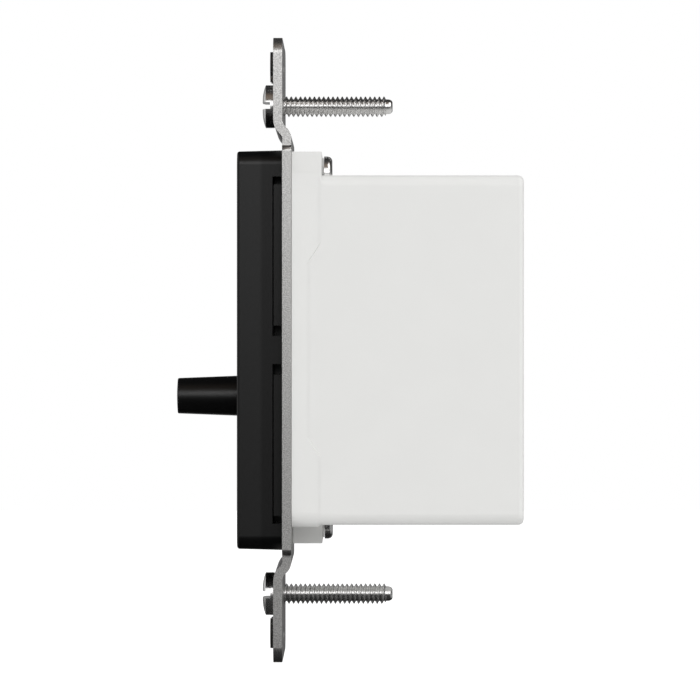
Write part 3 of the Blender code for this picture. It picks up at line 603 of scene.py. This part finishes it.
def make_materials():
    looks = [
        satin_black("black_plastic"),
        satin_black("cover_black", GLOSS_LINE),
        moulded_plastic("pale_plastic", (0.745, 0.745, 0.73), 0.5, 0.006),
        plated_sheet("strap_steel", (0.57, 0.565, 0.555), 0.33, 0.14),
        bright_metal("bright_steel", (0.83, 0.825, 0.82), 0.22),
        bright_metal("brass", (0.72, 0.55, 0.25), 0.32),
        bright_metal("earth_green", (0.06, 0.3, 0.1), 0.35),
        bright_metal("winding_copper", (0.6, 0.26, 0.1), 0.3),
        moulded_plastic("carbon_track", (0.03, 0.03, 0.03), 0.65, 0.2),
        moulded_plastic("tray_plastic", (0.42, 0.34, 0.22), 0.55, 0.08),
        moulded_plastic("ferrite", (0.05, 0.05, 0.052), 0.6, 0.15),
        moulded_plastic("film_blue", (0.1, 0.16, 0.35), 0.35, 0.06),
        moulded_plastic("resin_red", (0.35, 0.08, 0.05), 0.3, 0.1),
        moulded_plastic("pad_grey", (0.6, 0.6, 0.58), 0.7, 0.06),
        laminate("board_green", (0.05, 0.22, 0.09)),
    ]
    return {look.name: look.material for look in looks}


# Mounting strap


def strap_side(side):
    """One side of the bent sheet as (Y, Z) points, from the lower end up: 1 is its back, -1 its front."""
    turn = 2 * math.atan2(STRAP_THICK, JOGGLE_LENGTH)
    upper_bend = JOGGLE_LENGTH / math.sin(turn) - LOWER_BEND
    half = side * STRAP_THICK / 2
    bottom = FLAT_LENGTH / 2
    top = bottom + JOGGLE_LENGTH
    middle_y = STRAP_THICK / 2
    ear_y = -STRAP_THICK / 2
    degrees = math.degrees(turn)
    upper = arc((middle_y - LOWER_BEND, bottom), LOWER_BEND + half, 0, degrees)
    upper += arc((ear_y + upper_bend, top), upper_bend - half, 180 + degrees, 180)[1:]
    upper.append((ear_y + half, STRAP_LENGTH / 2))
    lower = [(y, -z) for y, z in reversed(upper)]
    return lower + upper


def strap_front():
    """The strap's outline seen from the room, with the middle wider than the ears."""
    middle = (MIDDLE_WIDTH / 2 - MIDDLE_CORNER, MIDDLE_LENGTH / 2 - MIDDLE_CORNER)
    ear = (EAR_WIDTH / 2 - EAR_CORNER, STRAP_LENGTH / 2 - EAR_CORNER)
    quarter = arc(middle, MIDDLE_CORNER, 0, 90)
    quarter.append((EAR_WIDTH / 2, MIDDLE_LENGTH / 2))
    return four_ways(quarter + arc(ear, EAR_CORNER, 0, 90))


def collar(end):
    """The raised collar round a wall plate's screw hole, with a low lip on its inner side."""
    front = -STRAP_THICK - COLLAR_HEIGHT
    inside = -STRAP_THICK / 2
    made = turned("collar", [(COLLAR_OUTER, front), (COLLAR_OUTER, inside)], "Y")
    half = COLLAR_LIP_WIDTH / 2
    low_z = (BOX_SCREW_SPACING + BOX_SCREW_HEAD - PLATE_SCREW_SPACING) / 2 + FIT
    lip_front = -STRAP_THICK - COLLAR_LIP_HEIGHT
    lip = box("collar_lip", (-half, lip_front, low_z), (half, inside, -PLATE_HOLE / 2))
    join(made, lip)
    for piece in (made, lip):
        piece.location.z = end * PLATE_SCREW_SPACING / 2
        piece.rotation_euler.y = 0 if end > 0 else math.pi
    return made


def hole(name, outline, x, z):
    """A cutter that goes right through the strap and what lies on it."""
    made = prism(name, outline, "Y", -HOLE_REACH, HOLE_REACH)
    made.location = (x, 0, z)
    return made


def strap(look):
    """The bent strap with its collars and its holes for screws, latches, the lever and the rivet."""
    width = MIDDLE_WIDTH / 2 + STRAP_THICK
    side = strap_side(1) + strap_side(-1)[::-1]
    made = prism("strap", side, "X", -width, width)
    combine(made, hole("strap_front", strap_front(), 0, 0), "INTERSECT")
    for end in (1, -1):
        join(made, collar(end))
        cut(made, hole("plate_hole", circle(PLATE_HOLE), 0, end * PLATE_SCREW_SPACING / 2))
        ear_slot = stadium(EAR_SLOT_LENGTH, BOX_SCREW_SHANK + 2 * FIT)
        cut(made, hole("ear_slot", ear_slot, 0, end * BOX_SCREW_SPACING / 2))
        screw_hole = circle(HOUSING_SCREW_SHANK + 2 * FIT)
        cut(made, hole("screw_hole", screw_hole, end * HOUSING_SCREW_X, end * HOUSING_SCREW_Z))
        latch_x = end * (LATCH_OUT - LATCH_THICK / 2)
        latch_slot = rounded_rectangle(LATCH_THICK + 2 * FIT, LATCH_WIDTH + 2 * FIT, FIT)
        cut(made, hole("latch_slot", latch_slot, latch_x, 0))
    window = rounded_rectangle(WINDOW_WIDTH, 2 * SLOT_REACH + 2 * FIT, WINDOW_CORNER)
    cut(made, hole("lever_window", window, 0, 0))
    rivet = (RIVET_BOX[0] + RIVET_BOX[1]) / 2
    cut(made, hole("rivet_hole", circle(RIVET_SHANK + 2 * FIT), rivet.x, rivet.z))
    settle(made, FINE_EDGE)
    place(made, "base", "strap_steel", look, "mounting_strap")


# Screws


def thread_fall(turn):
    """How far a thread has fallen from its crest, at 0, to its root, at 1, by turns from a crest."""
    offset = abs(turn - round(turn))
    flank = min(1.0, max(0.0, (offset - THREAD_CREST) / THREAD_FLANK))
    curve = flank * flank * (3 - 2 * flank)
    return curve * THREAD_CURVE + flank * (1 - THREAD_CURVE)


def thread_rings(outer, depth, start, stop, turned_by=0.0):
    """Rings along Y of a helical thread that fades in at its start and breaks off at its end."""
    rings = []
    count = math.ceil((stop - start) / THREAD_PITCH * THREAD_STEPS)
    for i in range(count + 1):
        level = start + (stop - start) * i / count
        fade_in = (level - start) / (THREAD_FADE_IN * THREAD_PITCH)
        fade_out = (stop - level) / (THREAD_FADE_OUT * THREAD_PITCH)
        height = depth * max(0.0, min(1.0, fade_in, fade_out))
        points = []
        for j in range(ROUND):
            angle = 2 * math.pi * j / ROUND
            turn = (level - start) / THREAD_PITCH - j / ROUND - turned_by
            radius = outer / 2 - depth + height * (1 - thread_fall(turn))
            points.append((radius * math.cos(angle), level, radius * math.sin(angle)))
        rings.append(points)
    return rings


def mounting_screw(name, node, end, look):
    """A round-headed slotted screw with its thread."""
    seat = -STRAP_THICK - SEAT
    rim = seat - BOX_SCREW_RIM
    profile = []
    for step in range(1, DOME_STEPS + 1):
        share = step / DOME_STEPS
        drop = BOX_SCREW_DOME * (1 - share**BOX_SCREW_DOME_POWER)
        profile.append((BOX_SCREW_HEAD * share, rim - drop))
    profile.append((BOX_SCREW_HEAD, seat - BOX_SCREW_HEAD_EDGE))
    profile.append((BOX_SCREW_HEAD - 2 * BOX_SCREW_HEAD_EDGE, seat))
    profile.append((BOX_SCREW_SHANK - 2 * THREAD_DEPTH, seat))
    rings = [ring(circle(d), "Y", level) for d, level in profile]
    start = seat + BOX_SCREW_NECK
    tip = seat + BOX_SCREW_LENGTH
    rings += thread_rings(BOX_SCREW_SHANK, THREAD_DEPTH, start, tip - BOX_SCREW_POINT_LENGTH, THREAD_START)
    for angle in sweep():
        diameter = BOX_SCREW_POINT - 2 * BOX_SCREW_POINT_EDGE * (1 - math.cos(angle))
        rings.append(ring(circle(diameter), "Y", tip - BOX_SCREW_POINT_ROUND * (1 - math.sin(angle))))
    made = loft(name, rings)
    half = BOX_SCREW_SLOT / 2
    reach = BOX_SCREW_HEAD
    slot_floor = rim - BOX_SCREW_DOME + BOX_SCREW_SLOT_DEPTH
    cut(made, box("screw_slot", (-reach, slot_floor - reach, -half), (reach, slot_floor, half)))
    settle(made)
    made.location.z = end * BOX_SCREW_SPACING / 2
    place(made, "base", "bright_steel", look, node)


def housing_screw(name, node, end, look):
    """A pan-headed screw with a cross recess, driven from the back."""
    seat = LUG_BACK + WASHER_THICK + 2 * SEAT
    top = seat + HOUSING_SCREW_HEAD_HEIGHT
    shoulder = top - HOUSING_SCREW_EDGE
    neck = seat - HOUSING_SCREW_NECK
    rings = thread_rings(HOUSING_SCREW_SHANK, HOUSING_SCREW_THREAD_DEPTH, SEAT, neck)
    profile = [(HOUSING_SCREW_SHANK, seat), (HOUSING_SCREW_HEAD, seat)]
    for angle in sweep(steps=PAN_STEPS):
        diameter = HOUSING_SCREW_HEAD - 2 * HOUSING_SCREW_EDGE * (1 - math.cos(angle))
        profile.append((diameter, shoulder + HOUSING_SCREW_EDGE * math.sin(angle)))
    rings += [ring(circle(d), "Y", level) for d, level in profile]
    made = loft(name, rings)
    for length, width in ((RECESS_LENGTH, RECESS_WIDTH), (RECESS_WIDTH, RECESS_LENGTH)):
        low = (-length / 2, top - RECESS_DEPTH, -width / 2)
        high = (length / 2, top + RECESS_DEPTH, width / 2)
        cut(made, box("recess", low, high))
    settle(made)
    made.location = (end * HOUSING_SCREW_X, 0, end * HOUSING_SCREW_Z)
    place(made, "base", "bright_steel", look, node)


def washer(name, node, end, look):
    """The insulating washer between a lug and its screw's head."""
    front = LUG_BACK + SEAT
    back = front + WASHER_THICK
    face = WASHER_OUTER - 2 * WASHER_EDGE
    bore = HOUSING_SCREW_SHANK + 2 * FIT
    profile = [
        (face, front),
        (WASHER_OUTER, front + WASHER_EDGE),
        (WASHER_OUTER, back - WASHER_EDGE),
        (face, back),
        (bore, back),
        (bore, front),
    ]
    made = turned(name, profile, "Y", closed=True)
    settle(made)
    made.location = (end * HOUSING_SCREW_X, 0, end * HOUSING_SCREW_Z)
    place(made, "base", "pale_plastic", look, node)


def terminal_screw(name, node, slot, look):
    """A slotted terminal screw, with its head in a window of the housing's far side."""
    low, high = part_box(node)
    top = low.x
    seat = top + TERMINAL_HEAD_HEIGHT
    profile = []
    for angle in sweep():
        diameter = TERMINAL_HEAD - 2 * TERMINAL_HEAD_EDGE * (1 - math.sin(angle))
        profile.append((diameter, top + TERMINAL_HEAD_EDGE * (1 - math.cos(angle))))
    profile += [(TERMINAL_HEAD, seat), (TERMINAL_SHANK, seat), (TERMINAL_SHANK, high.x)]
    made = turned(name, profile, "X")
    half = TERMINAL_SLOT / 2
    reach = TERMINAL_HEAD
    cut(made, box("terminal_slot", (top - reach, -reach, -half), (top + TERMINAL_SLOT_DEPTH, reach, half)))
    settle(made)
    middle = (low + high) / 2
    made.location = (0, middle.y, middle.z)
    place(made, "base", slot, look, node)


# Front cover and knob


def cover_outline(inset):
    return rounded_rectangle(COVER_WIDTH - 2 * inset, COVER_HEIGHT - 2 * inset, COVER_CORNER - inset)


def latch(side):
    """A leg from the cover's side wall through the strap, with a hook that catches its back."""
    inner = LATCH_OUT - LATCH_THICK
    catch = STRAP_BACK + SEAT
    outline = [
        (inner, COVER_Y + COVER_FRONT / 2),
        (LATCH_OUT, COVER_Y + COVER_FRONT / 2),
        (LATCH_OUT, catch),
        (LATCH_OUT + LATCH_HOOK, catch),
        (LATCH_OUT - LATCH_THICK / 3, catch + LATCH_REACH),
        (inner, catch + LATCH_REACH),
    ]
    outline = [(side * x, y) for x, y in outline]
    return prism("latch", outline, "Z", -LATCH_WIDTH / 2, LATCH_WIDTH / 2)


def cover(look):
    """The black front with its knob's track and slot, its side notches and two latches."""
    rings = [ring(cover_outline(0), "Y", -SEAT)]
    rings.append(ring(cover_outline(COVER_DRAFT), "Y", COVER_Y + COVER_EDGE))
    for angle in sweep()[1:]:
        inset = COVER_DRAFT + COVER_EDGE * (1 - math.cos(angle))
        rings.append(ring(cover_outline(inset), "Y", COVER_Y + COVER_EDGE * (1 - math.sin(angle))))
    made = loft("cover", rings)
    cut(made, prism("cover_inside", cover_outline(COVER_WALL), "Y", COVER_Y + COVER_FRONT, COVER_DEPTH))
    track = rounded_rectangle(KNOB_WIDTH + 2 * RUN, TRAVEL + KNOB_HEIGHT + 2 * RUN, KNOB_HEIGHT / 2 + RUN)
    cut(made, prism("knob_track", track, "Y", 2 * COVER_Y, TRACK_FLOOR))
    cut(made, prism("knob_slot", stadium(2 * SLOT_HALF, 2 * SLOT_REACH), "Y", 2 * COVER_Y, 0))
    for end in (1, -1):
        low = (-COVER_WIDTH, -NOTCH_DEPTH, end * NOTCH_SPACING / 2 - NOTCH_LENGTH / 2)
        high = (COVER_WIDTH, NOTCH_DEPTH, end * NOTCH_SPACING / 2 + NOTCH_LENGTH / 2)
        cut(made, box("side_notch", low, high))
    for side in (1, -1):
        join(made, latch(side))
    settle(made, FINE_EDGE)
    place(made, "base", "black_plastic", look, "front_cover")


def knob_outline(inset):
    return stadium(KNOB_WIDTH - 2 * inset, KNOB_HEIGHT - 2 * inset)


def knob(look):
    """The tapered finger tab with round ends and a domed tip, on its stem."""
    root = TRACK_FLOOR - RUN
    tip = COVER_Y - KNOB_REACH
    shoulder = tip + KNOB_DOME + KNOB_EDGE
    rings = [ring(knob_outline(0), "Y", root), ring(knob_outline(KNOB_TAPER), "Y", shoulder)]
    for angle in sweep(KNOB_EDGE_TURN)[1:]:
        inset = KNOB_TAPER + KNOB_EDGE * (1 - math.cos(angle))
        crown = shoulder - KNOB_EDGE * math.sin(angle)
        rings.append(ring(knob_outline(inset), "Y", crown))
    rest = KNOB_HEIGHT / 2 - inset
    for step in range(1, EDGE_STEPS + 1):
        share = step / (EDGE_STEPS + KNOB_TIP_FLAT)
        level = crown + (tip - crown) * (1 - (1 - share) ** 2)
        rings.append(ring(knob_outline(inset + rest * share), "Y", level))
    made = loft("knob", rings)
    stem = stadium(STEM_WIDTH, STEM_HEIGHT)
    join(made, prism("knob_stem", stem, "Y", root - KNOB_EDGE, CARRIAGE_FRONT - SEAT))
    settle(made)
    made.location.z = KNOB_Z
    place(made, "slider", "black_plastic", look, "slider_knob")


def slide_frame(look):
    """The frame under the cover: arms that close the cover's notches and rails that carry the carriage."""
    core = (RAIL_SPACING + RAIL_WIDTH) / 2 + RAIL_MARGIN
    half_z = COVER_HEIGHT / 2 - COVER_WALL - FIT
    tongue_x = COVER_WIDTH / 2 - TONGUE_RECESS
    low_z = (TONGUE_SPACING - TONGUE_LENGTH) / 2
    high_z = (TONGUE_SPACING + TONGUE_LENGTH) / 2
    quarter = [
        (core, 0),
        (core, low_z),
        (tongue_x, low_z),
        (tongue_x, high_z),
        (core, high_z),
        (core, half_z),
        (0, half_z),
    ]
    back = -SEAT
    front = back - FRAME_THICK
    made = prism("slide_frame", four_ways(quarter), "Y", front, back)
    for side in (1, -1):
        low = (side * RAIL_SPACING / 2 - RAIL_WIDTH / 2, front - RAIL_HEIGHT, -SLOT_REACH - RAIL_WIDTH)
        high = (side * RAIL_SPACING / 2 + RAIL_WIDTH / 2, back - FRAME_THICK / 2, SLOT_REACH + RAIL_WIDTH)
        join(made, box("rail", low, high))
    cut(made, hole("lever_slot", stadium(2 * SLOT_HALF, 2 * SLOT_REACH), 0, 0))
    rivet = (RIVET_BOX[0] + RIVET_BOX[1]) / 2
    relief = RIVET_BOX[1].z - RIVET_BOX[0].z + 2 * FIT
    cut(made, hole("rivet_relief", circle(relief), rivet.x, rivet.z))
    settle(made, FINE_EDGE)
    place(made, "base", "black_plastic", look, "guide_frame")


# Rear housing


def housing_outline(inset):
    """The housing's outline with a screwdriver's channel at the top right and another at the lower left."""
    half_x = HOUSING_WIDTH / 2 - inset
    half_z = HOUSING_HEIGHT / 2 - inset
    radius = HOUSING_CORNER - inset
    channel = CHANNEL_HALF + inset
    floor = CHANNEL_FLOOR - inset
    upper = arc((half_x - radius, half_z - radius), radius, 0, 90)
    upper.append((HOUSING_SCREW_X + channel, half_z))
    upper.append((HOUSING_SCREW_X + channel, floor))
    upper.append((HOUSING_SCREW_X - channel, floor))
    upper.append((HOUSING_SCREW_X - channel, half_z))
    upper += arc((radius - half_x, half_z - radius), radius, 90, 180)
    return upper + [(-x, -z) for x, z in upper]


def rim_outline(inset):
    """The front rim's outline, a step larger than the housing and square where it carries a lug."""
    half_x = HOUSING_WIDTH / 2 + RIM_STEP - inset
    half_z = HOUSING_HEIGHT / 2 + RIM_STEP - inset
    radius = HOUSING_CORNER + 2 * RIM_STEP - inset
    upper = [(half_x, half_z)] + arc((radius - half_x, half_z - radius), radius, 90, 180, CORNER - 1)
    return upper + [(-x, -z) for x, z in upper]


def rim_gap(share):
    """What is cut from the rim's sides, as (Y, Z) points, at a share of the rim's step out.

    It leaves a shallower stretch with a gentle slope behind it and a steep ramp at each end.
    """
    shallow = HOUSING_FRONT + RIM_DEPTH
    ramp = RIM_RAMP / (LUG_BACK - shallow)
    near_y = shallow - share * RIM_SLOPE
    far_y = LUG_BACK + LUG_THICK
    ramp_y = shallow - RIM_SLOPE / 2 - (share - 0.5) * RAMP_SLOPE
    near_z = RIM_SHALLOW_LENGTH / 2 + ramp * (near_y - ramp_y)
    far_z = RIM_SHALLOW_LENGTH / 2 + ramp * (far_y - ramp_y)
    return [(near_y, -near_z), (far_y, -far_z), (far_y, far_z), (near_y, near_z)]


def housing_rim():
    """The rim slopes into the housing behind it and is as deep as the lugs only at its ends."""
    rings = [ring(rim_outline(0), "Y", HOUSING_FRONT)]
    rings.append(ring(rim_outline(0), "Y", LUG_BACK - RIM_SLOPE))
    rings.append(ring(rim_outline(RIM_STEP + SEAT), "Y", LUG_BACK))
    rim = loft("housing_rim", rings)
    sections = []
    for side, share in ((-1, 2), (-1, -1), (1, -1), (1, 2)):
        x = side * (HOUSING_WIDTH / 2 + share * RIM_STEP)
        sections.append(ring(rim_gap(share), "X", x))
    cut(rim, loft("rim_gap", sections))
    return rim


def housing_lug(end):
    """A block at one end of the housing, level with its side, that a screw holds to the strap."""
    side = HOUSING_WIDTH / 2
    low = (side - LUG_WIDTH, HOUSING_FRONT, HOUSING_HEIGHT / 2 - HOUSING_WALL)
    high = (side, LUG_BACK, LUG_SPAN / 2)
    lug = box("housing_lug", low, high)
    lug.rotation_euler.y = 0 if end > 0 else math.pi
    return lug


def board_post(side, end):
    """A post that stands on the housing's floor and holds one corner of the board."""
    foot = HOUSING_BACK - HOUSING_FLOOR / 2
    post = turned("post", [(POST_DIAMETER, ON_BOARD), (POST_DIAMETER, foot)], "Y", steps=POST_SIDES)
    post.location = (side * POST_SPACING_X / 2, 0, end * POST_SPACING_Z / 2)
    return post


def terminal_window(row):
    """A cutter for the opening in the far side that shows one terminal screw."""
    first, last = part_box("line_terminal_screw")
    y = (first.y + last.y) / 2
    z = row * TERMINAL_PITCH
    half = TERMINAL_WINDOW / 2
    low = (-HOUSING_WIDTH, y - half, z - half)
    high = (-INNER_X + HOUSING_WALL / 2, y + half, z + half)
    return box("terminal_window", low, high)


def housing(look):
    """The deep moulded cup behind the strap, with posts inside and terminal windows on its far side."""
    rings = [ring(housing_outline(0), "Y", HOUSING_FRONT + RIM_DEPTH / 2)]
    for angle in sweep():
        level = HOUSING_BACK - HOUSING_EDGE * (1 - math.sin(angle))
        rings.append(ring(housing_outline(HOUSING_EDGE * (1 - math.cos(angle))), "Y", level))
    made = loft("housing", rings)
    join(made, housing_rim())
    floor = HOUSING_BACK - HOUSING_FLOOR
    cut(made, prism("housing_inside", housing_outline(HOUSING_WALL), "Y", -HOUSING_FLOOR, floor))
    for end in (1, -1):
        join(made, housing_lug(end))
        screw_hole = prism("lug_hole", circle(HOUSING_SCREW_SHANK + 2 * FIT), "Y", 0, 2 * LUG_BACK)
        screw_hole.location = (end * HOUSING_SCREW_X, 0, end * HOUSING_SCREW_Z)
        cut(made, screw_hole)
        for side in (1, -1):
            join(made, board_post(side, end))
    for row in (-1, 0, 1):
        cut(made, terminal_window(row))
    settle(made, HOUSING_FINE_EDGE)
    place(made, "base", "pale_plastic", look, "rear_housing")


# Studio


def studio():
    scene = bpy.context.scene
    scene.view_settings.view_transform = "Standard"
    make_world(scene)
    make_floor()
    add_lamp("key", KEY)
    add_lamp("wing", WING)


def towards(round_deg, up_deg):
    """A direction from the object: 0 round is the camera's side, and more is towards the wall."""
    turn = math.radians(round_deg)
    up = math.radians(up_deg)
    return Vector((math.cos(up) * math.cos(turn), math.cos(up) * math.sin(turn), math.sin(up)))


def add_lamp(name, sizes):
    """A wide soft lamp that faces the object."""
    light = bpy.data.lights.new(name, "AREA")
    light.shape = "RECTANGLE"
    light.size = sizes["wide"]
    light.size_y = sizes["tall"]
    light.energy = sizes["power"]
    lamp = bpy.data.objects.new(name, light)
    direction = towards(sizes["round"], sizes["up"])
    lamp.location = Vector((0, CAMERA_Y, 0)) + LAMP_DISTANCE * direction
    lamp.rotation_euler = direction.to_track_quat("Z", "Y").to_euler()
    bpy.context.scene.collection.objects.link(lamp)


def studio_tones(graph, height):
    """What the metal shows of the room at each height: degrees up from level, and its colour there."""
    tones = [
        (-90, (0.03, 0.03, 0.03)),
        (-38, (0.035, 0.035, 0.035)),
        (-13, (0.05, 0.05, 0.05)),
        (-5, (0.22, 0.22, 0.22)),
        (5, (0.33, 0.33, 0.33)),
        (30, (0.09, 0.08, 0.07)),
        (45, (0.21, 0.165, 0.13)),
        (62, (0.14, 0.105, 0.08)),
        (80, (0.03, 0.03, 0.03)),
    ]
    made = graph.add("ValToRGB")
    elements = made.color_ramp.elements
    elements.remove(elements[1])
    for i, (degrees, colour) in enumerate(tones):
        position = 0.5 + math.sin(math.radians(degrees)) / 2
        element = elements[0] if i == 0 else elements.new(position)
        element.position = position
        element.color = (*colour, 1)
    graph.link(graph.spread(height, 0.0, 1.0, -1, 1), made, "Fac")
    return made.outputs["Color"]


def pale_band(graph, wallward, height):
    """The lit part of the far wall, brighter towards the room, in a band round eye level."""
    band = graph.spread(wallward, *PALE_LEVELS, *PALE_Y)
    band = graph.choose(graph.field(height, LEVEL_Z), DARK, band)
    return graph.choose(graph.field(height, HIGH_Z), band, DARK)


def studio_view(graph, direction):
    """The studio that shows in metal: dim on the camera's side, with some paler fields and white behind."""
    across = graph.along(direction, "X")
    wallward = graph.along(direction, "Y")
    height = graph.along(direction, "Z")
    view = graph.choose(graph.field(across, NEAR_X), DARK, studio_tones(graph, height))
    view = graph.choose(graph.field(wallward, PAST_ROOM_Y), DARK, view)
    view = graph.choose(graph.field(across, FAR_X), view, pale_band(graph, wallward, height))
    low = graph.field(height, LOW_Z)
    view = graph.choose(graph.both(low, graph.field(across, FARTHEST_X)), view, MID_GREY)
    view = graph.choose(graph.both(low, graph.field(wallward, WALL_Y)), view, MID_GREY)
    room_side = graph.spread(height, *ROOM_LEVELS, *ROOM_Z)
    view = graph.choose(graph.field(wallward, ROOM_Y), view, room_side)
    return graph.choose(graph.field(across, BEHIND_X), view, WHITE)


def make_world(scene):
    """White behind the object, a soft light on it that grows with height, and a dim studio in its metal."""
    world = bpy.data.worlds.new("studio")
    world.use_nodes = True
    scene.world = world
    graph = Graph(world.node_tree)
    direction = graph.add("TexCoord").outputs["Generated"]
    soft = graph.spread(graph.along(direction, "Z"), *SOFT_LEVELS, *SKY_Z)
    path = graph.add("LightPath")
    light = graph.choose(path.outputs["Is Glossy Ray"], soft, studio_view(graph, direction))
    light = graph.choose(path.outputs["Is Transmission Ray"], light, WHITE)
    light = graph.choose(path.outputs["Is Camera Ray"], light, WHITE)
    graph.link(light, graph.tree.nodes["Background"], "Color")


def make_floor():
    """A pale floor below the picture, which takes the object's shadow and doesn't show in its metal."""
    half = FLOOR_SIZE / 2
    outline = rectangle((-half, -half), (half, half))
    floor = prism("floor", outline, "Z", FLOOR_Z - FLOOR_THICK, FLOOR_Z)
    look = Look("floor")
    look.colours(look.noise(size=0.3), dark=(0.79, 0.79, 0.79), light=(0.83, 0.83, 0.83))
    look.roughness(look.noise(size=0.05), low=0.75, high=0.85)
    look.shader.inputs["Emission Color"].default_value = (1, 1, 1, 1)
    seen = look.add("LightPath").outputs["Is Camera Ray"]
    look.link(look.spread(seen, 0.0, FLOOR_GLOW, 0.0, 1.0), look.shader, "Emission Strength")
    floor.data.materials.append(look.material)
    floor.visible_glossy = False


def camera():
    lens = bpy.data.cameras.new("camera")
    lens.sensor_width = CAMERA_SENSOR
    lens.lens = CAMERA_LENS
    lens.clip_start = CAMERA_CLIP
    made = bpy.data.objects.new("camera", lens)
    made.location = (CAMERA_DISTANCE, CAMERA_Y, CAMERA_Z)
    made.rotation_euler = (math.pi / 2, 0, math.pi / 2)
    bpy.context.scene.collection.objects.link(made)
    bpy.context.scene.camera = made


def dress_nodes(looks):
    """Each CAD node takes the finished material of its slot; those that are replaced don't show it."""
    for row in frame["record"]["subparts"]:
        mesh = nodes[row["node"]].data
        mesh.materials.clear()
        mesh.materials.append(looks[row["material_slot"]])


def main():
    camera()
    studio()
    looks = make_materials()
    dress_nodes(looks)
    strap(looks["strap_steel"])
    for name, end in (("top", 1), ("bottom", -1)):
        bright = looks["bright_steel"]
        mounting_screw("box_screw_" + name, "mounting_screw_" + name, end, bright)
        housing_screw("lug_screw_" + name, "housing_screw_" + name, end, bright)
        washer("lug_washer_" + name, "housing_washer_" + name, end, looks["pale_plastic"])
    terminal_screw("earth_screw", "earth_terminal_screw", "earth_green", looks["earth_green"])
    terminal_screw("line_screw", "line_terminal_screw", "brass", looks["brass"])
    terminal_screw("load_screw", "load_terminal_screw", "brass", looks["brass"])
    cover(looks["cover_black"])
    slide_frame(looks["cover_black"])
    knob(looks["black_plastic"])
    housing(looks["pale_plastic"])


main()
